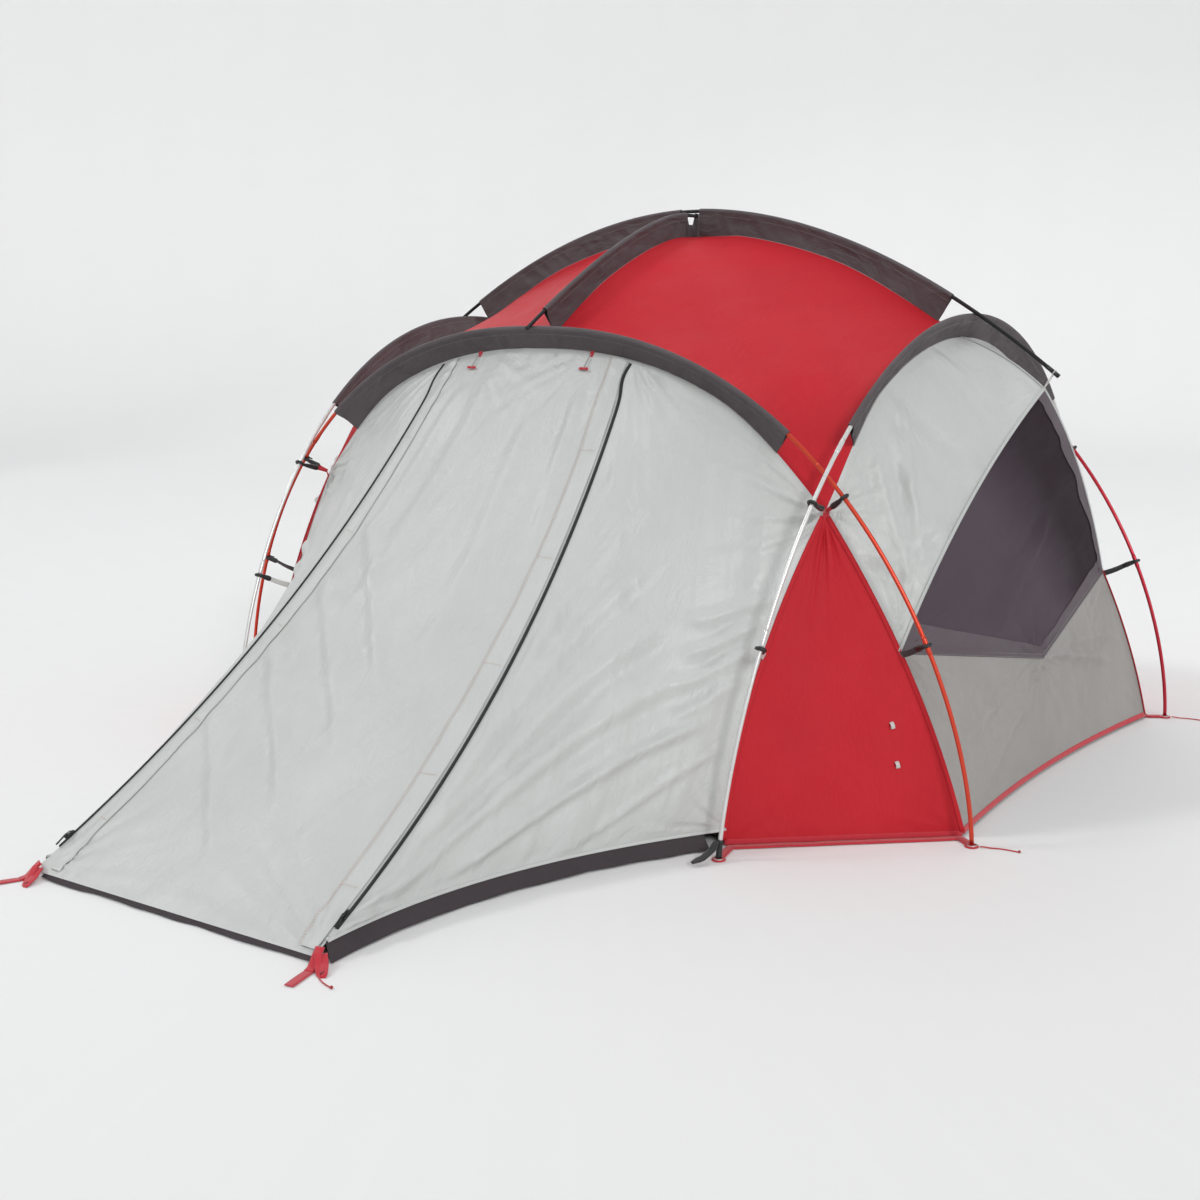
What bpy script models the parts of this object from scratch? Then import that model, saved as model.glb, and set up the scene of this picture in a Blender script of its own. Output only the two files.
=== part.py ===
"""Geodesic dome tent: two pairs of hoop poles, two ridge poles, sleeves, fly panels,
front vestibule with a zipped door, straps, clips, floor and inner front wall.
Metres, +Z up, vestibule towards -Y."""
import math

import bmesh
import bpy
import numpy as np
from mathutils import Matrix, Vector

for old in list(bpy.data.objects):
    bpy.data.objects.remove(old, do_unlink=True)

# ---- driving dimensions, metres and radians -------------------------------------
SHIFT_Y = 0.5094           # tent centre to the middle of the whole footprint
PEAK_Z = 1.446             # centre of the side-to-side ridge pole at the top
POLE_R = 0.005
POLE_PIECES = 46
FRONT_HOOP = dict(half=1.203, rise=1.131, out=0.667, lean=0.0384, pe=0.869, qe=1.178,
                  top_lean=0.70, leg_lean=0.45)
BACK_HOOP = dict(FRONT_HOOP, top_lean=1.00)
SIDE_HOOP = dict(half=1.065, rise=1.152, out=0.795, lean=0.0596, pe=0.965, qe=1.250,
                 top_lean=0.55, leg_lean=0.50)
FOOT_Z = 0.0060            # pole tips stand on the corner straps
RIDGE_OVER_HOOP = 0.0150   # ridge pole centre above the hoop pole centre
RIDGE_POWER_X = 1.911
RIDGE_POWER_Y = 1.413
RIDGE_TIP_X = 1.097        # the side-to-side ridge pole stands out past the hoops
RIDGE_TIP_Y = 0.735
RIDGE_CROSS = 0.0112       # the front-to-back ridge pole passes under at the top
SLEEVE_DEPTH = 0.056       # from the pole's centre to the sleeve's sewn edge
SLEEVE_BORE = 0.0062
SLEEVE_OUTER = 0.0074
SLEEVE_END = 0.155         # from the pole crossing to the sleeve's mouth, along the pole
RIDGE_GAP_TOP = 0.030      # bare pole each side of the top crossing
RIDGE_GAP_END = 0.045      # bare pole before the hoop sleeve
CLOTH = 0.003              # thickness of a fabric solid
SEAM_DEPTH = 0.060         # fabric seam below the pole's centre, at the sleeve's edge
CORNER = (0.8175, -0.663, 0.718)     # where the fabric seams meet below the poles
HEM_Z = 0.0130
HEM_FRONT = (0.757, -0.983)          # corner panel's hem, front hoop side
HEM_SIDE = (1.159, -0.620)           # corner panel's hem, side face end
BOW_FRONT = (-0.0124, -0.0558)       # outward bow of the two corner seams
BOW_SIDE = (0.0416, -0.0041)
SIDE_HEM_BOW = 0.040
WINDOW_V = 0.42            # height fraction of the back face's middle seam
WINDOW_AT = 0.43           # where the window's lower corner meets the corner seam
BROW_TIP = (1.060, 0.972)  # the side's brow, tied below the ridge pole's tip
BROW_BOW = (0.030, 0.036)  # outward bow of the brow's edge at its middle
SILL = (1.088, 0.292)      # lowest point of the window's lower edge
SEAM_GAP = 0.0035          # from a seam line to the edge of each fabric solid
STAKE_RIGHT = (0.497, -1.941)
STAKE_LEFT = (-0.318, -1.991)
STAKE_Z = 0.030
ZIP_TOP_RIGHT = 0.291
ZIP_TOP_LEFT = -0.326
ZIP_SAG_RIGHT = 0.1217
ZIP_SAG_LEFT = 0.0836
ZIP_HALF_W = 0.011
ZIP_HALF_T = 0.0018
ZIP_CLEAR = 0.0150         # from the zip's centre line to the fabric either side
ZIP_END = 0.062            # bare arc below the zip, where the valances meet
HEADER_DROP = 0.060        # from the seam to the door's hinge line, along the zips
HEM_BOW_VEST = 0.090
VALANCE_TOP = 0.048
VALANCE_FLARE = 0.022
VALANCE_FOOT = 0.0022
DOOR_GRID = 13
FLOOR_T = 0.004
FLOOR_FRONT = (0.715, 0.925)
FLOOR_SIDE = (1.075, 0.595)
WALL_BASE_Y = -0.850
WALL_TOP_Y = -0.570
WALL_TOP_Z = 1.020
WALL_BASE_Z = 0.012
STRAP_HALF_W = 0.010
STRAP_T = 0.0045
STRAP_PAD_R = 0.016
CORD_R = 0.0015
CLIP_R = 0.0042


# ---- scene helpers ---------------------------------------------------------------
def collection(name):
    made = bpy.data.collections.new(name)
    bpy.context.scene.collection.children.link(made)
    return made


TENT = collection("dome_tent")
CUTTERS = collection("cutters")
BASE = bpy.data.objects.new("tent_base", None)
BASE.location = (0, SHIFT_Y, 0)
TENT.objects.link(BASE)


def material(name, colour, rough=0.8, metal=0.0):
    made = bpy.data.materials.new(name)
    made.use_nodes = True
    shader = made.node_tree.nodes["Principled BSDF"]
    shader.inputs["Base Color"].default_value = (*colour, 1.0)
    shader.inputs["Roughness"].default_value = rough
    shader.inputs["Metallic"].default_value = metal
    return made


GREY = (0.52, 0.53, 0.52)
SMOKE = (0.34, 0.33, 0.32)
RED = (0.55, 0.04, 0.05)
SLATE = (0.11, 0.09, 0.10)
DARK = (0.10, 0.08, 0.085)
BLACK = (0.012, 0.012, 0.013)
WEBBING = (0.60, 0.02, 0.04)


def place(name, data, colour, origin=(0, 0, 0), parent=BASE, rough=0.8, metal=0.0):
    obj = bpy.data.objects.new(name, data)
    TENT.objects.link(obj)
    obj.parent = parent
    obj.location = origin
    data.materials.clear()
    data.materials.append(material(name, colour, rough, metal))
    return obj


def mesh_from(name, verts, faces, origin=(0, 0, 0)):
    mesh = bpy.data.meshes.new(name)
    shift = Vector(origin)
    mesh.from_pydata([tuple(Vector(v) - shift) for v in verts], [], faces)
    bm = bmesh.new()
    bm.from_mesh(mesh)
    bmesh.ops.recalc_face_normals(bm, faces=bm.faces)
    bm.to_mesh(mesh)
    bm.free()
    return mesh


def thicken(obj, thickness=CLOTH):
    solid = obj.modifiers.new("Cloth", "SOLIDIFY")
    solid.thickness = thickness
    solid.offset = 0.0
    return obj


def unit(v):
    v = np.asarray(v, float)
    return v / np.linalg.norm(v)


def resample(points, count, start=0.0, end=0.0):
    """count points evenly along a polyline, from start in from one end to end in
    from the other."""
    points = np.asarray(points, float)
    steps = np.linalg.norm(np.diff(points, axis=0), axis=1)
    run = np.concatenate([[0.0], np.cumsum(steps)])
    wanted = np.linspace(start, run[-1] - end, count)
    return np.stack([np.interp(wanted, run, points[:, k]) for k in range(3)], axis=1)


def length(points):
    return float(np.linalg.norm(np.diff(points, axis=0), axis=1).sum())


def smooth(x):
    x = np.clip(x, 0.0, 1.0)
    return x * x * (3 - 2 * x)


# ---- pole lines ------------------------------------------------------------------
TURN = {
    "front": lambda u, w, z: np.stack([u, -w, z], axis=-1),
    "back": lambda u, w, z: np.stack([u, w, z], axis=-1),
    "right": lambda u, w, z: np.stack([w, u, z], axis=-1),
    "left": lambda u, w, z: np.stack([-w, u, z], axis=-1),
}
HOOPS = {"front": FRONT_HOOP, "back": BACK_HOOP, "right": SIDE_HOOP, "left": SIDE_HOOP}


def hoop_lines(side, count=POLE_PIECES + 1, dense=900):
    """Pole centres, outward normals and the downhill direction across the sleeve."""
    h = HOOPS[side]
    t = np.linspace(0.0, math.pi, dense)
    u = h["half"] * np.sign(np.cos(t)) * np.abs(np.cos(t)) ** h["pe"]
    v = h["rise"] * np.abs(np.sin(t)) ** h["qe"]
    w = h["out"] + v * math.sin(h["lean"])
    z = np.maximum(v * math.cos(h["lean"]), 0.0)
    local = np.stack([u, w, z], axis=1)
    keep = z >= FOOT_Z
    local = resample(local[keep], count)
    tangent = np.gradient(local, axis=0)
    tangent /= np.linalg.norm(tangent, axis=1)[:, None]
    radial = np.stack([-tangent[:, 2], np.zeros(count), tangent[:, 0]], axis=1)
    radial *= np.where(radial[:, 2:3] < 0, -1.0, 1.0)
    flip = (radial[:, 0] * local[:, 0] < 0)
    radial[flip, 0] *= -1.0
    high = np.clip(local[:, 2] / h["rise"], 0, 1) ** 1.5
    lean = h["leg_lean"] + (h["top_lean"] - h["leg_lean"]) * high
    normal = radial + np.stack([np.zeros(count), lean, np.zeros(count)], axis=1)
    normal -= (normal * tangent).sum(axis=1)[:, None] * tangent
    normal /= np.linalg.norm(normal, axis=1)[:, None]
    across = np.cross(tangent, normal)
    across *= np.sign(across[:, 1:2])
    turn = TURN[side]
    return tuple(turn(a[:, 0], a[:, 1], a[:, 2]) for a in (local, normal, across))


LINES = {side: hoop_lines(side) for side in HOOPS}


def apex(side):
    return LINES[side][0][POLE_PIECES // 2]


def ridge_x(x):
    over = apex("right")
    drop = (PEAK_Z - (over[2] + RIDGE_OVER_HOOP)) / abs(over[0]) ** RIDGE_POWER_X
    return np.stack([x, 0 * x, PEAK_Z - drop * np.abs(x) ** RIDGE_POWER_X], axis=1)


def ridge_y(y):
    over = apex("front")
    top = PEAK_Z - RIDGE_CROSS
    reach = np.sqrt(y * y + 0.06 ** 2) - 0.06
    full = math.sqrt(over[1] ** 2 + 0.06 ** 2) - 0.06
    drop = (top - (over[2] + RIDGE_OVER_HOOP)) / full ** RIDGE_POWER_Y
    return np.stack([0 * y, y, top - drop * reach ** RIDGE_POWER_Y], axis=1)


def tube(name, points, radius, colour, rough=0.4, metal=0.0, parent=BASE, ring=2):
    curve = bpy.data.curves.new(name, "CURVE")
    curve.dimensions = "3D"
    curve.bevel_depth = radius
    curve.bevel_resolution = ring
    curve.use_fill_caps = True
    curve.resolution_u = 1
    spline = curve.splines.new("POLY")
    spline.points.add(len(points) - 1)
    for at, p in zip(spline.points, points):
        at.co = (*p, 1.0)
    return place(name, curve, colour, parent=parent, rough=rough, metal=metal)


POLE_COLOURS = {"front": (0.62, 0.06, 0.03), "back": (0.62, 0.06, 0.03),
                "right": (0.78, 0.78, 0.76), "left": (0.78, 0.78, 0.76)}
for side in HOOPS:
    tube(f"hoop_pole_{side}", LINES[side][0], POLE_R, POLE_COLOURS[side], 0.3, 0.6)
RIDGE_POINTS_X = ridge_x(np.linspace(-RIDGE_TIP_X, RIDGE_TIP_X, 35))
RIDGE_POINTS_Y = ridge_y(np.linspace(-RIDGE_TIP_Y, RIDGE_TIP_Y, 31))
tube("ridge_pole_side", RIDGE_POINTS_X, POLE_R, BLACK, 0.3)
tube("ridge_pole_long", RIDGE_POINTS_Y, POLE_R, BLACK, 0.3)


# ---- sleeves ---------------------------------------------------------------------
def sleeve(name, centres, normals, acrosses):
    """A flat sleeve that stands on the fly's seam and holds the pole in its outer edge:
    a drop-shaped outside with a round bore, open at both ends."""
    half = [(0.0056, 0.0048), (0.0010, 0.0073), (-0.0120, 0.0040), (-0.0300, 0.0020),
            (-SLEEVE_DEPTH, 0.0010)]
    outside = [(SLEEVE_OUTER, 0.0)] + half + [(n, -a) for n, a in reversed(half)]
    turns = [0, 36, 75, 110, 145, 170, 190, 215, 250, 285, 324]
    bore = [(SLEEVE_BORE * math.cos(math.radians(t)), SLEEVE_BORE * math.sin(math.radians(t)))
            for t in turns]
    verts, faces = [], []
    for ring in (outside, bore):
        for c, n, a in zip(centres, normals, acrosses):
            verts.extend(c + up * n + flat * a for up, flat in ring)
    rows, sides = len(centres), len(outside)
    inner = rows * sides
    for r in range(rows - 1):
        for k in range(sides):
            a, b = r * sides + k, r * sides + (k + 1) % sides
            faces.append((a, b, b + sides, a + sides))
            faces.append((inner + a, inner + a + sides, inner + b + sides, inner + b))
    for r in (0, rows - 1):
        for k in range(sides):
            a, b = r * sides + k, r * sides + (k + 1) % sides
            faces.append((a, inner + a, inner + b, b))
    return place(name, mesh_from(name, verts, faces), DARK, rough=0.9)


def crossing_index(side):
    """The pole point nearest the crossing with the neighbouring hoops."""
    mine = LINES[side][0]
    other = LINES["right" if side in ("front", "back") else "front"][0]
    gaps = np.linalg.norm(mine[:, None] - other[None], axis=2)
    return int(np.argmin(gaps.min(axis=1)))


def sleeve_range(side):
    at = crossing_index(side)
    at = min(at, POLE_PIECES - at)
    step = length(LINES[side][0]) / POLE_PIECES
    first = at + int(round(SLEEVE_END / step))
    return first, POLE_PIECES - first


for side in HOOPS:
    lo, hi = sleeve_range(side)
    centre, normal, across = (a[lo:hi + 1] for a in LINES[side])
    sleeve(f"sleeve_{side}", centre, normal, across)


def half_ridge(name, line, axis, sign):
    keep = line[(line[:, axis] * sign > RIDGE_GAP_TOP)]
    reach = abs(apex("right")[0]) if axis == 0 else abs(apex("front")[1])
    keep = keep[np.abs(keep[:, axis]) < reach - RIDGE_GAP_END]
    tangent = np.gradient(keep, axis=0)
    tangent /= np.linalg.norm(tangent, axis=1)[:, None]
    side = np.zeros_like(keep)
    side[:, 1 - axis] = 1.0
    normal = np.cross(tangent, side)
    normal *= np.sign(normal[:, 2:3])
    sleeve(name, keep, normal, side)


half_ridge("ridge_sleeve_right", RIDGE_POINTS_X, 0, 1)
half_ridge("ridge_sleeve_left", RIDGE_POINTS_X, 0, -1)
half_ridge("ridge_sleeve_back", RIDGE_POINTS_Y, 1, 1)
half_ridge("ridge_sleeve_front", RIDGE_POINTS_Y, 1, -1)


# ---- fabric surfaces -------------------------------------------------------------
def taut(top, bottom, left, right, rounds=500):
    """A stretched membrane held by four edges. top and bottom run left to right,
    left and right run top to bottom."""
    rows, cols = len(left), len(top)
    u = np.linspace(0, 1, cols)[None, :, None]
    v = np.linspace(0, 1, rows)[:, None, None]
    grid = ((1 - v) * top[None] + v * bottom[None]
            + (1 - u) * left[:, None] + u * right[:, None]
            - (1 - u) * (1 - v) * top[0] - u * (1 - v) * top[-1]
            - (1 - u) * v * bottom[0] - u * v * bottom[-1])
    for _ in range(rounds):
        grid[1:-1, 1:-1] = 0.25 * (grid[:-2, 1:-1] + grid[2:, 1:-1]
                                   + grid[1:-1, :-2] + grid[1:-1, 2:])
    return grid


def trim(grid, left=SEAM_GAP, right=SEAM_GAP, top=SEAM_GAP, bottom=SEAM_GAP):
    """The same surface with its edges drawn in by the given distances."""
    cols = grid.shape[1]
    rows = grid.shape[0]
    grid = np.stack([resample(line, cols, left, right) for line in grid])
    lines = [resample(grid[:, k], rows, top, bottom) for k in range(cols)]
    return np.stack(lines, axis=1)


def sheet(name, grid, colour, rough=0.8, origin=(0, 0, 0), parent=BASE, thick=CLOTH):
    rows, cols = grid.shape[:2]
    verts = grid.reshape(-1, 3)
    faces = [(r * cols + c, r * cols + c + 1, (r + 1) * cols + c + 1, (r + 1) * cols + c)
             for r in range(rows - 1) for c in range(cols - 1)]
    obj = place(name, mesh_from(name, verts, faces, origin), colour, origin, parent, rough)
    return thicken(obj, thick)


def mirrored(points, x=1, y=1):
    return np.asarray(points) * np.array([x, y, 1.0])


def seam_arch(side, count=400):
    """The fabric seam that runs along a hoop from corner to corner."""
    centre, normal, _ = LINES[side]
    at = crossing_index(side)
    at = min(at, POLE_PIECES - at)
    lo, _ = sleeve_range(side)
    base = centre - SEAM_DEPTH * normal
    base = base[at:POLE_PIECES - at + 1]
    corner = corner_of(side)
    total = len(base)
    blend = max(lo - at, 1) + 3
    out = base.copy()
    for start, order in ((0, 1), (total - 1, -1)):
        near = corner[0] if np.linalg.norm(corner[0] - base[start]) < np.linalg.norm(
            corner[1] - base[start]) else corner[1]
        miss = near - base[start]
        for k in range(total):
            away = k if order == 1 else total - 1 - k
            out[k] += miss * (1 - smooth(away / blend))
    return resample(out, count)


def corner_of(side):
    c = np.array(CORNER)
    sign = {"front": [(1, 1), (-1, 1)], "back": [(1, -1), (-1, -1)],
            "right": [(1, 1), (1, -1)], "left": [(-1, 1), (-1, -1)]}[side]
    return [mirrored(c, *s) for s in sign]


def ordered(line, start):
    """The line with the end nearest start first."""
    a = np.linalg.norm(line[0] - np.asarray(start))
    b = np.linalg.norm(line[-1] - np.asarray(start))
    return line if a <= b else line[::-1]


ARCH = {side: seam_arch(side) for side in HOOPS}


def half_arch(side, corner):
    """The arch from its middle down to one corner."""
    line = ordered(ARCH[side], corner)
    return line[:len(line) // 2 + 1][::-1]


def ridge_seam(line, axis, sign, end):
    """The roof seam under a ridge pole, brought down to the hoop seam at its end."""
    keep = line[line[:, axis] * sign >= -1e-9]
    keep = ordered(keep, (0, 0, PEAK_Z))
    keep = keep[np.abs(keep[:, axis]) <= abs(end[axis])]
    under = keep - np.array([0, 0, SEAM_DEPTH])
    under[0] = (0, 0, PEAK_Z - RIDGE_CROSS - SEAM_DEPTH)
    share = smooth((np.abs(keep[:, axis]) / abs(end[axis]) - 0.55) / 0.45)
    miss = np.asarray(end) - under[-1]
    under = under + share[:, None] * miss
    level = PEAK_Z - RIDGE_CROSS - SEAM_DEPTH
    under[:, 2] = np.minimum(under[:, 2], level)
    return np.concatenate([under, [end]])


ROOF_N = 12


def roof(name, sx, sy):
    corner = mirrored(CORNER, sx, -sy)
    near = "front" if sy < 0 else "back"
    flank = "right" if sx > 0 else "left"
    long_arch = half_arch(near, corner)
    side_arch = half_arch(flank, corner)
    ridge_side = ridge_seam(RIDGE_POINTS_X, 0, sx, side_arch[0])
    ridge_long = ridge_seam(RIDGE_POINTS_Y, 1, sy, long_arch[0])
    grid = taut(resample(ridge_side, ROOF_N), resample(long_arch, ROOF_N),
                resample(ridge_long, ROOF_N), resample(side_arch, ROOF_N))
    sheet(name, trim(grid), RED)


roof("roof_front_right", 1, -1)
roof("roof_front_left", -1, -1)
roof("roof_back_right", 1, 1)
roof("roof_back_left", -1, 1)


def corner_seam(which, sx, sy, count=200):
    """Seam from the corner point down to the hem: which is front (towards the hoop
    across the side) or side."""
    end = HEM_FRONT if which == "front" else HEM_SIDE
    bow = BOW_FRONT if which == "front" else BOW_SIDE
    a, b = np.array(CORNER), np.array((*end, HEM_Z))
    v = np.linspace(0, 1, count)[:, None]
    line = a + (b - a) * v + np.array((*bow, 0.0)) * 4 * v * (1 - v)
    return mirrored(line, sx, -sy)


CORNER_TIP = 0.05


def corner_panel(name, sx, sy):
    one, two = corner_seam("front", sx, sy), corner_seam("side", sx, sy)
    cut = int(len(one) * CORNER_TIP)
    one, two = one[cut:], two[cut:]
    rows = 11
    left, right = resample(one, rows), resample(two, rows)
    top = resample([left[0], right[0]], 5)
    bottom = resample([left[-1], right[-1]], 5)
    sheet(name, trim(taut(top, bottom, left, right)), RED)


corner_panel("corner_front_right", 1, -1)
corner_panel("corner_front_left", -1, -1)
corner_panel("corner_back_right", 1, 1)
corner_panel("corner_back_left", -1, 1)


def back_surface(fine=33):
    """The whole back face, right seam to left seam, hoop seam to hem."""
    right, left = corner_seam("front", 1, 1), corner_seam("front", -1, 1)
    arch = ordered(ARCH["back"], right[0])
    a, b = right[-1], left[-1]
    u = np.linspace(0, 1, 200)[:, None]
    hem = a + (b - a) * u + np.array([0, -SIDE_HEM_BOW, 0]) * 4 * u * (1 - u)
    return taut(resample(arch, fine), resample(hem, fine),
                resample(right, fine), resample(left, fine), rounds=1200)


def at_uv(surface, u, v):
    rows, cols = surface.shape[:2]
    x, y = u * (cols - 1), v * (rows - 1)
    i, j = min(int(y), rows - 2), min(int(x), cols - 2)
    fx, fy = x - j, y - i
    return ((surface[i, j] * (1 - fx) + surface[i, j + 1] * fx) * (1 - fy)
            + (surface[i + 1, j] * (1 - fx) + surface[i + 1, j + 1] * fx) * fy)


def region(surface, left, right, v0, v1, rows, cols):
    """The part of a surface between two lines u = left(v) and u = right(v)."""
    grid = np.zeros((rows, cols, 3))
    for r, v in enumerate(np.linspace(v0, v1, rows)):
        a, b = left(v), right(v)
        for c in range(cols):
            grid[r, c] = at_uv(surface, a + (b - a) * c / (cols - 1), v)
    return grid


def bowed(a, b, bow, count=60):
    """A line from a to b that stands off its chord by bow at its middle."""
    a, b = np.asarray(a, float), np.asarray(b, float)
    v = np.linspace(0, 1, count)[:, None]
    return a + (b - a) * v + np.asarray(bow, float) * 4 * v * (1 - v)


def side_face(flank, sx):
    """Two brow panels out to the ridge pole's tip, the window under them, and the
    lower panel down to the hem."""
    peak = np.array([sx * BROW_TIP[0], 0.0, BROW_TIP[1]])
    sill = np.array([sx * SILL[0], 0.0, SILL[1]])
    tops, edges, sills, lows = {}, {}, {}, {}
    for end, sy in (("front", -1), ("back", 1)):
        seam = corner_seam("side", sx, sy)
        cut = int(round(len(seam) * WINDOW_AT))
        top = half_arch(flank, seam[0])
        corner = seam[cut]
        edges[end] = bowed(corner, peak, (0, sy * BROW_BOW[0], BROW_BOW[1]))
        sills[end] = np.stack([corner, sill])
        lows[end] = seam[cut:]
        tops[end] = top
        brow = taut(resample(top[::-1], 9), resample(edges[end], 9),
                    resample(seam[:cut + 1], 8), resample(np.stack([top[0], peak]), 8))
        sheet(f"{flank}_panel_{end}", trim(brow), GREY)
    window = taut(resample(edges["back"][::-1], 9), resample(sills["front"], 9),
                  resample(edges["front"][::-1], 9), resample(sills["back"], 9))
    sheet(f"{flank}_window", trim(window), SLATE, 0.5)
    hem = bowed(lows["front"][-1], lows["back"][-1], (-sx * SIDE_HEM_BOW, 0, 0))
    upper = np.concatenate([sills["front"], sills["back"][:1]])
    low = taut(resample(upper, 13), resample(hem, 13),
               resample(lows["front"], 7), resample(lows["back"], 7))
    sheet(f"{flank}_panel_lower", trim(low), SMOKE)


side_face("right", 1)
side_face("left", -1)
BACK_SURFACE = back_surface()
sheet("back_panel_upper",
      trim(region(BACK_SURFACE, lambda v: 0.0, lambda v: 1.0, 0.0, WINDOW_V, 9, 14)),
      GREY)
sheet("back_panel_lower",
      trim(region(BACK_SURFACE, lambda v: 0.0, lambda v: 1.0, WINDOW_V, 1.0, 7, 12)),
      SMOKE)


# ---- vestibule -------------------------------------------------------------------
def seam_point(x):
    """The point of the front hoop's seam at one x."""
    line = ordered(ARCH["front"], (-1, -0.6, 0.7))
    return np.array([np.interp(x, line[:, 0], line[:, k]) for k in range(3)])


def hanging_arc(start, end, sag, count=121):
    """A circular arc in the upright plane of its ends that hangs below their chord.
    Returns its points, its centre, its axis and its radius."""
    chord = np.linalg.norm(end - start)
    along = (end - start) / chord
    rise = np.array([0, 0, 1.0]) - along[2] * along
    rise /= np.linalg.norm(rise)
    radius = (chord ** 2 / 4 + sag ** 2) / (2 * sag)
    centre = (start + end) / 2 + rise * (radius - sag)
    half = math.asin(chord / 2 / radius)
    angles = np.linspace(-half, half, count)[:, None]
    points = centre + radius * (np.sin(angles) * along - np.cos(angles) * rise)
    return points, centre, np.cross(along, rise), radius


ZIPS = {
    "right": hanging_arc(seam_point(ZIP_TOP_RIGHT), np.array((*STAKE_RIGHT, STAKE_Z)),
                         ZIP_SAG_RIGHT),
    "left": hanging_arc(seam_point(ZIP_TOP_LEFT), np.array((*STAKE_LEFT, STAKE_Z)),
                        ZIP_SAG_LEFT),
}
ZIP_OUT = {"right": np.array([0.93, 0.36, 0.0]), "left": np.array([-0.93, 0.36, 0.0])}


def zip_frame(side, line):
    tangent = np.gradient(line, axis=0)
    tangent /= np.linalg.norm(tangent, axis=1)[:, None]
    across = ZIP_OUT[side] - (tangent @ ZIP_OUT[side])[:, None] * tangent
    across /= np.linalg.norm(across, axis=1)[:, None]
    normal = np.cross(tangent, across)
    normal *= np.sign(normal[:, 2:3])
    return tangent, across, normal


def band(name, line, across, normal, half_w, half_t, colour, rough=0.6):
    """A flat strip of even section along a line."""
    verts, faces = [], []
    for p, a, n in zip(line, across, normal):
        for s, t in ((-1, -1), (1, -1), (1, 1), (-1, 1)):
            verts.append(p + s * half_w * a + t * half_t * n)
    for r in range(len(line) - 1):
        for k in range(4):
            a, b = 4 * r + k, 4 * r + (k + 1) % 4
            faces.append((a, b, b + 4, a + 4))
    last = 4 * (len(line) - 1)
    faces.append((0, 1, 2, 3))
    faces.append((last, last + 1, last + 2, last + 3))
    return place(name, mesh_from(name, verts, faces), colour, rough=rough)


for side in ZIPS:
    line = resample(ZIPS[side][0], 25, 0.012, ZIP_END)
    _, across, normal = zip_frame(side, line)
    band(f"zipper_{side}", line, across, normal, ZIP_HALF_W, ZIP_HALF_T, BLACK)


def vest_hem(side):
    """The vestibule's hem from the stake corner back to the front leg."""
    sx = 1 if side == "right" else -1
    stake = STAKE_RIGHT if side == "right" else STAKE_LEFT
    a = np.array((*stake, VALANCE_TOP))
    b = np.array((sx * HEM_FRONT[0], HEM_FRONT[1], VALANCE_TOP))
    s = np.linspace(0, 1, 100)[:, None]
    return a + (b - a) * s + np.array([-sx * HEM_BOW_VEST, 0, 0]) * 4 * s * (1 - s)


def valance(name, hem, out, colour=DARK, parent=BASE, origin=(0, 0, 0), cols=12):
    """The flap from the hem down and out to the ground."""
    hem = resample(hem, cols)
    rows = []
    for f in (0.0, 0.5, 1.0):
        flare = np.array([out[0], out[1], 0.0]) * VALANCE_FLARE * f ** 1.5
        line = hem + flare
        line[:, 2] = VALANCE_TOP - SEAM_GAP + f * (VALANCE_FOOT - VALANCE_TOP + SEAM_GAP)
        rows.append(line)
    grid = np.stack(rows)
    return sheet(name, trim(grid, 0.012, 0.012, 0.0, 0.0), colour, 0.9, origin, parent)


VEST_ROWS, VEST_COLS = 15, 9
for side, sx in (("right", 1), ("left", -1)):
    arc = ZIPS[side][0]
    cut = arc[:, 2] > VALANCE_TOP
    inner = arc[cut]
    leg = corner_seam("front", sx, -1)
    leg = leg[leg[:, 2] > VALANCE_TOP]
    arch = ordered(ARCH["front"], (sx, -0.6, 0.7))
    arch = ordered(arch[arch[:, 0] * sx > inner[0][0] * sx], inner[0])
    arch = np.concatenate([[inner[0]], arch])
    hem = vest_hem(side)
    hem = ordered(hem, inner[-1])
    hem[0] = inner[-1]
    hem[-1] = leg[-1]
    grid = taut(resample(arch, VEST_COLS), resample(hem, VEST_COLS),
                resample(inner, VEST_ROWS), resample(leg, VEST_ROWS))
    sheet(f"vestibule_{side}", trim(grid, left=ZIP_CLEAR), GREY)
    valance(f"valance_{side}", vest_hem(side), (sx * 0.95, -0.3))


# ---- door ------------------------------------------------------------------------
def along_arc(side, distance):
    return resample(ZIPS[side][0], 2, distance, 0.0)[0]


HINGE_LEFT, HINGE_RIGHT = along_arc("left", HEADER_DROP), along_arc("right", HEADER_DROP)
HINGE_MID = (HINGE_LEFT + HINGE_RIGHT) / 2
HINGE = bpy.data.objects.new("door_hinge", None)
HINGE.parent = BASE
HINGE.location = HINGE_MID
TENT.objects.link(HINGE)

arch = ordered(ARCH["front"], (-1, -0.6, 0.7))
head = arch[(arch[:, 0] > ZIP_TOP_LEFT) & (arch[:, 0] < ZIP_TOP_RIGHT)]
head = np.concatenate([[ZIPS["left"][0][0]], head, [ZIPS["right"][0][0]]])
upper_left = resample(np.stack([ZIPS["left"][0][0], HINGE_LEFT]), 4)
upper_right = resample(np.stack([ZIPS["right"][0][0], HINGE_RIGHT]), 4)
header = taut(resample(head, DOOR_GRID),
              resample(np.stack([HINGE_LEFT, HINGE_RIGHT]), DOOR_GRID),
              upper_left, upper_right)
sheet("door_header", trim(header, ZIP_CLEAR, ZIP_CLEAR, SEAM_GAP, SEAM_GAP + 0.001), GREY)

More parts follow.
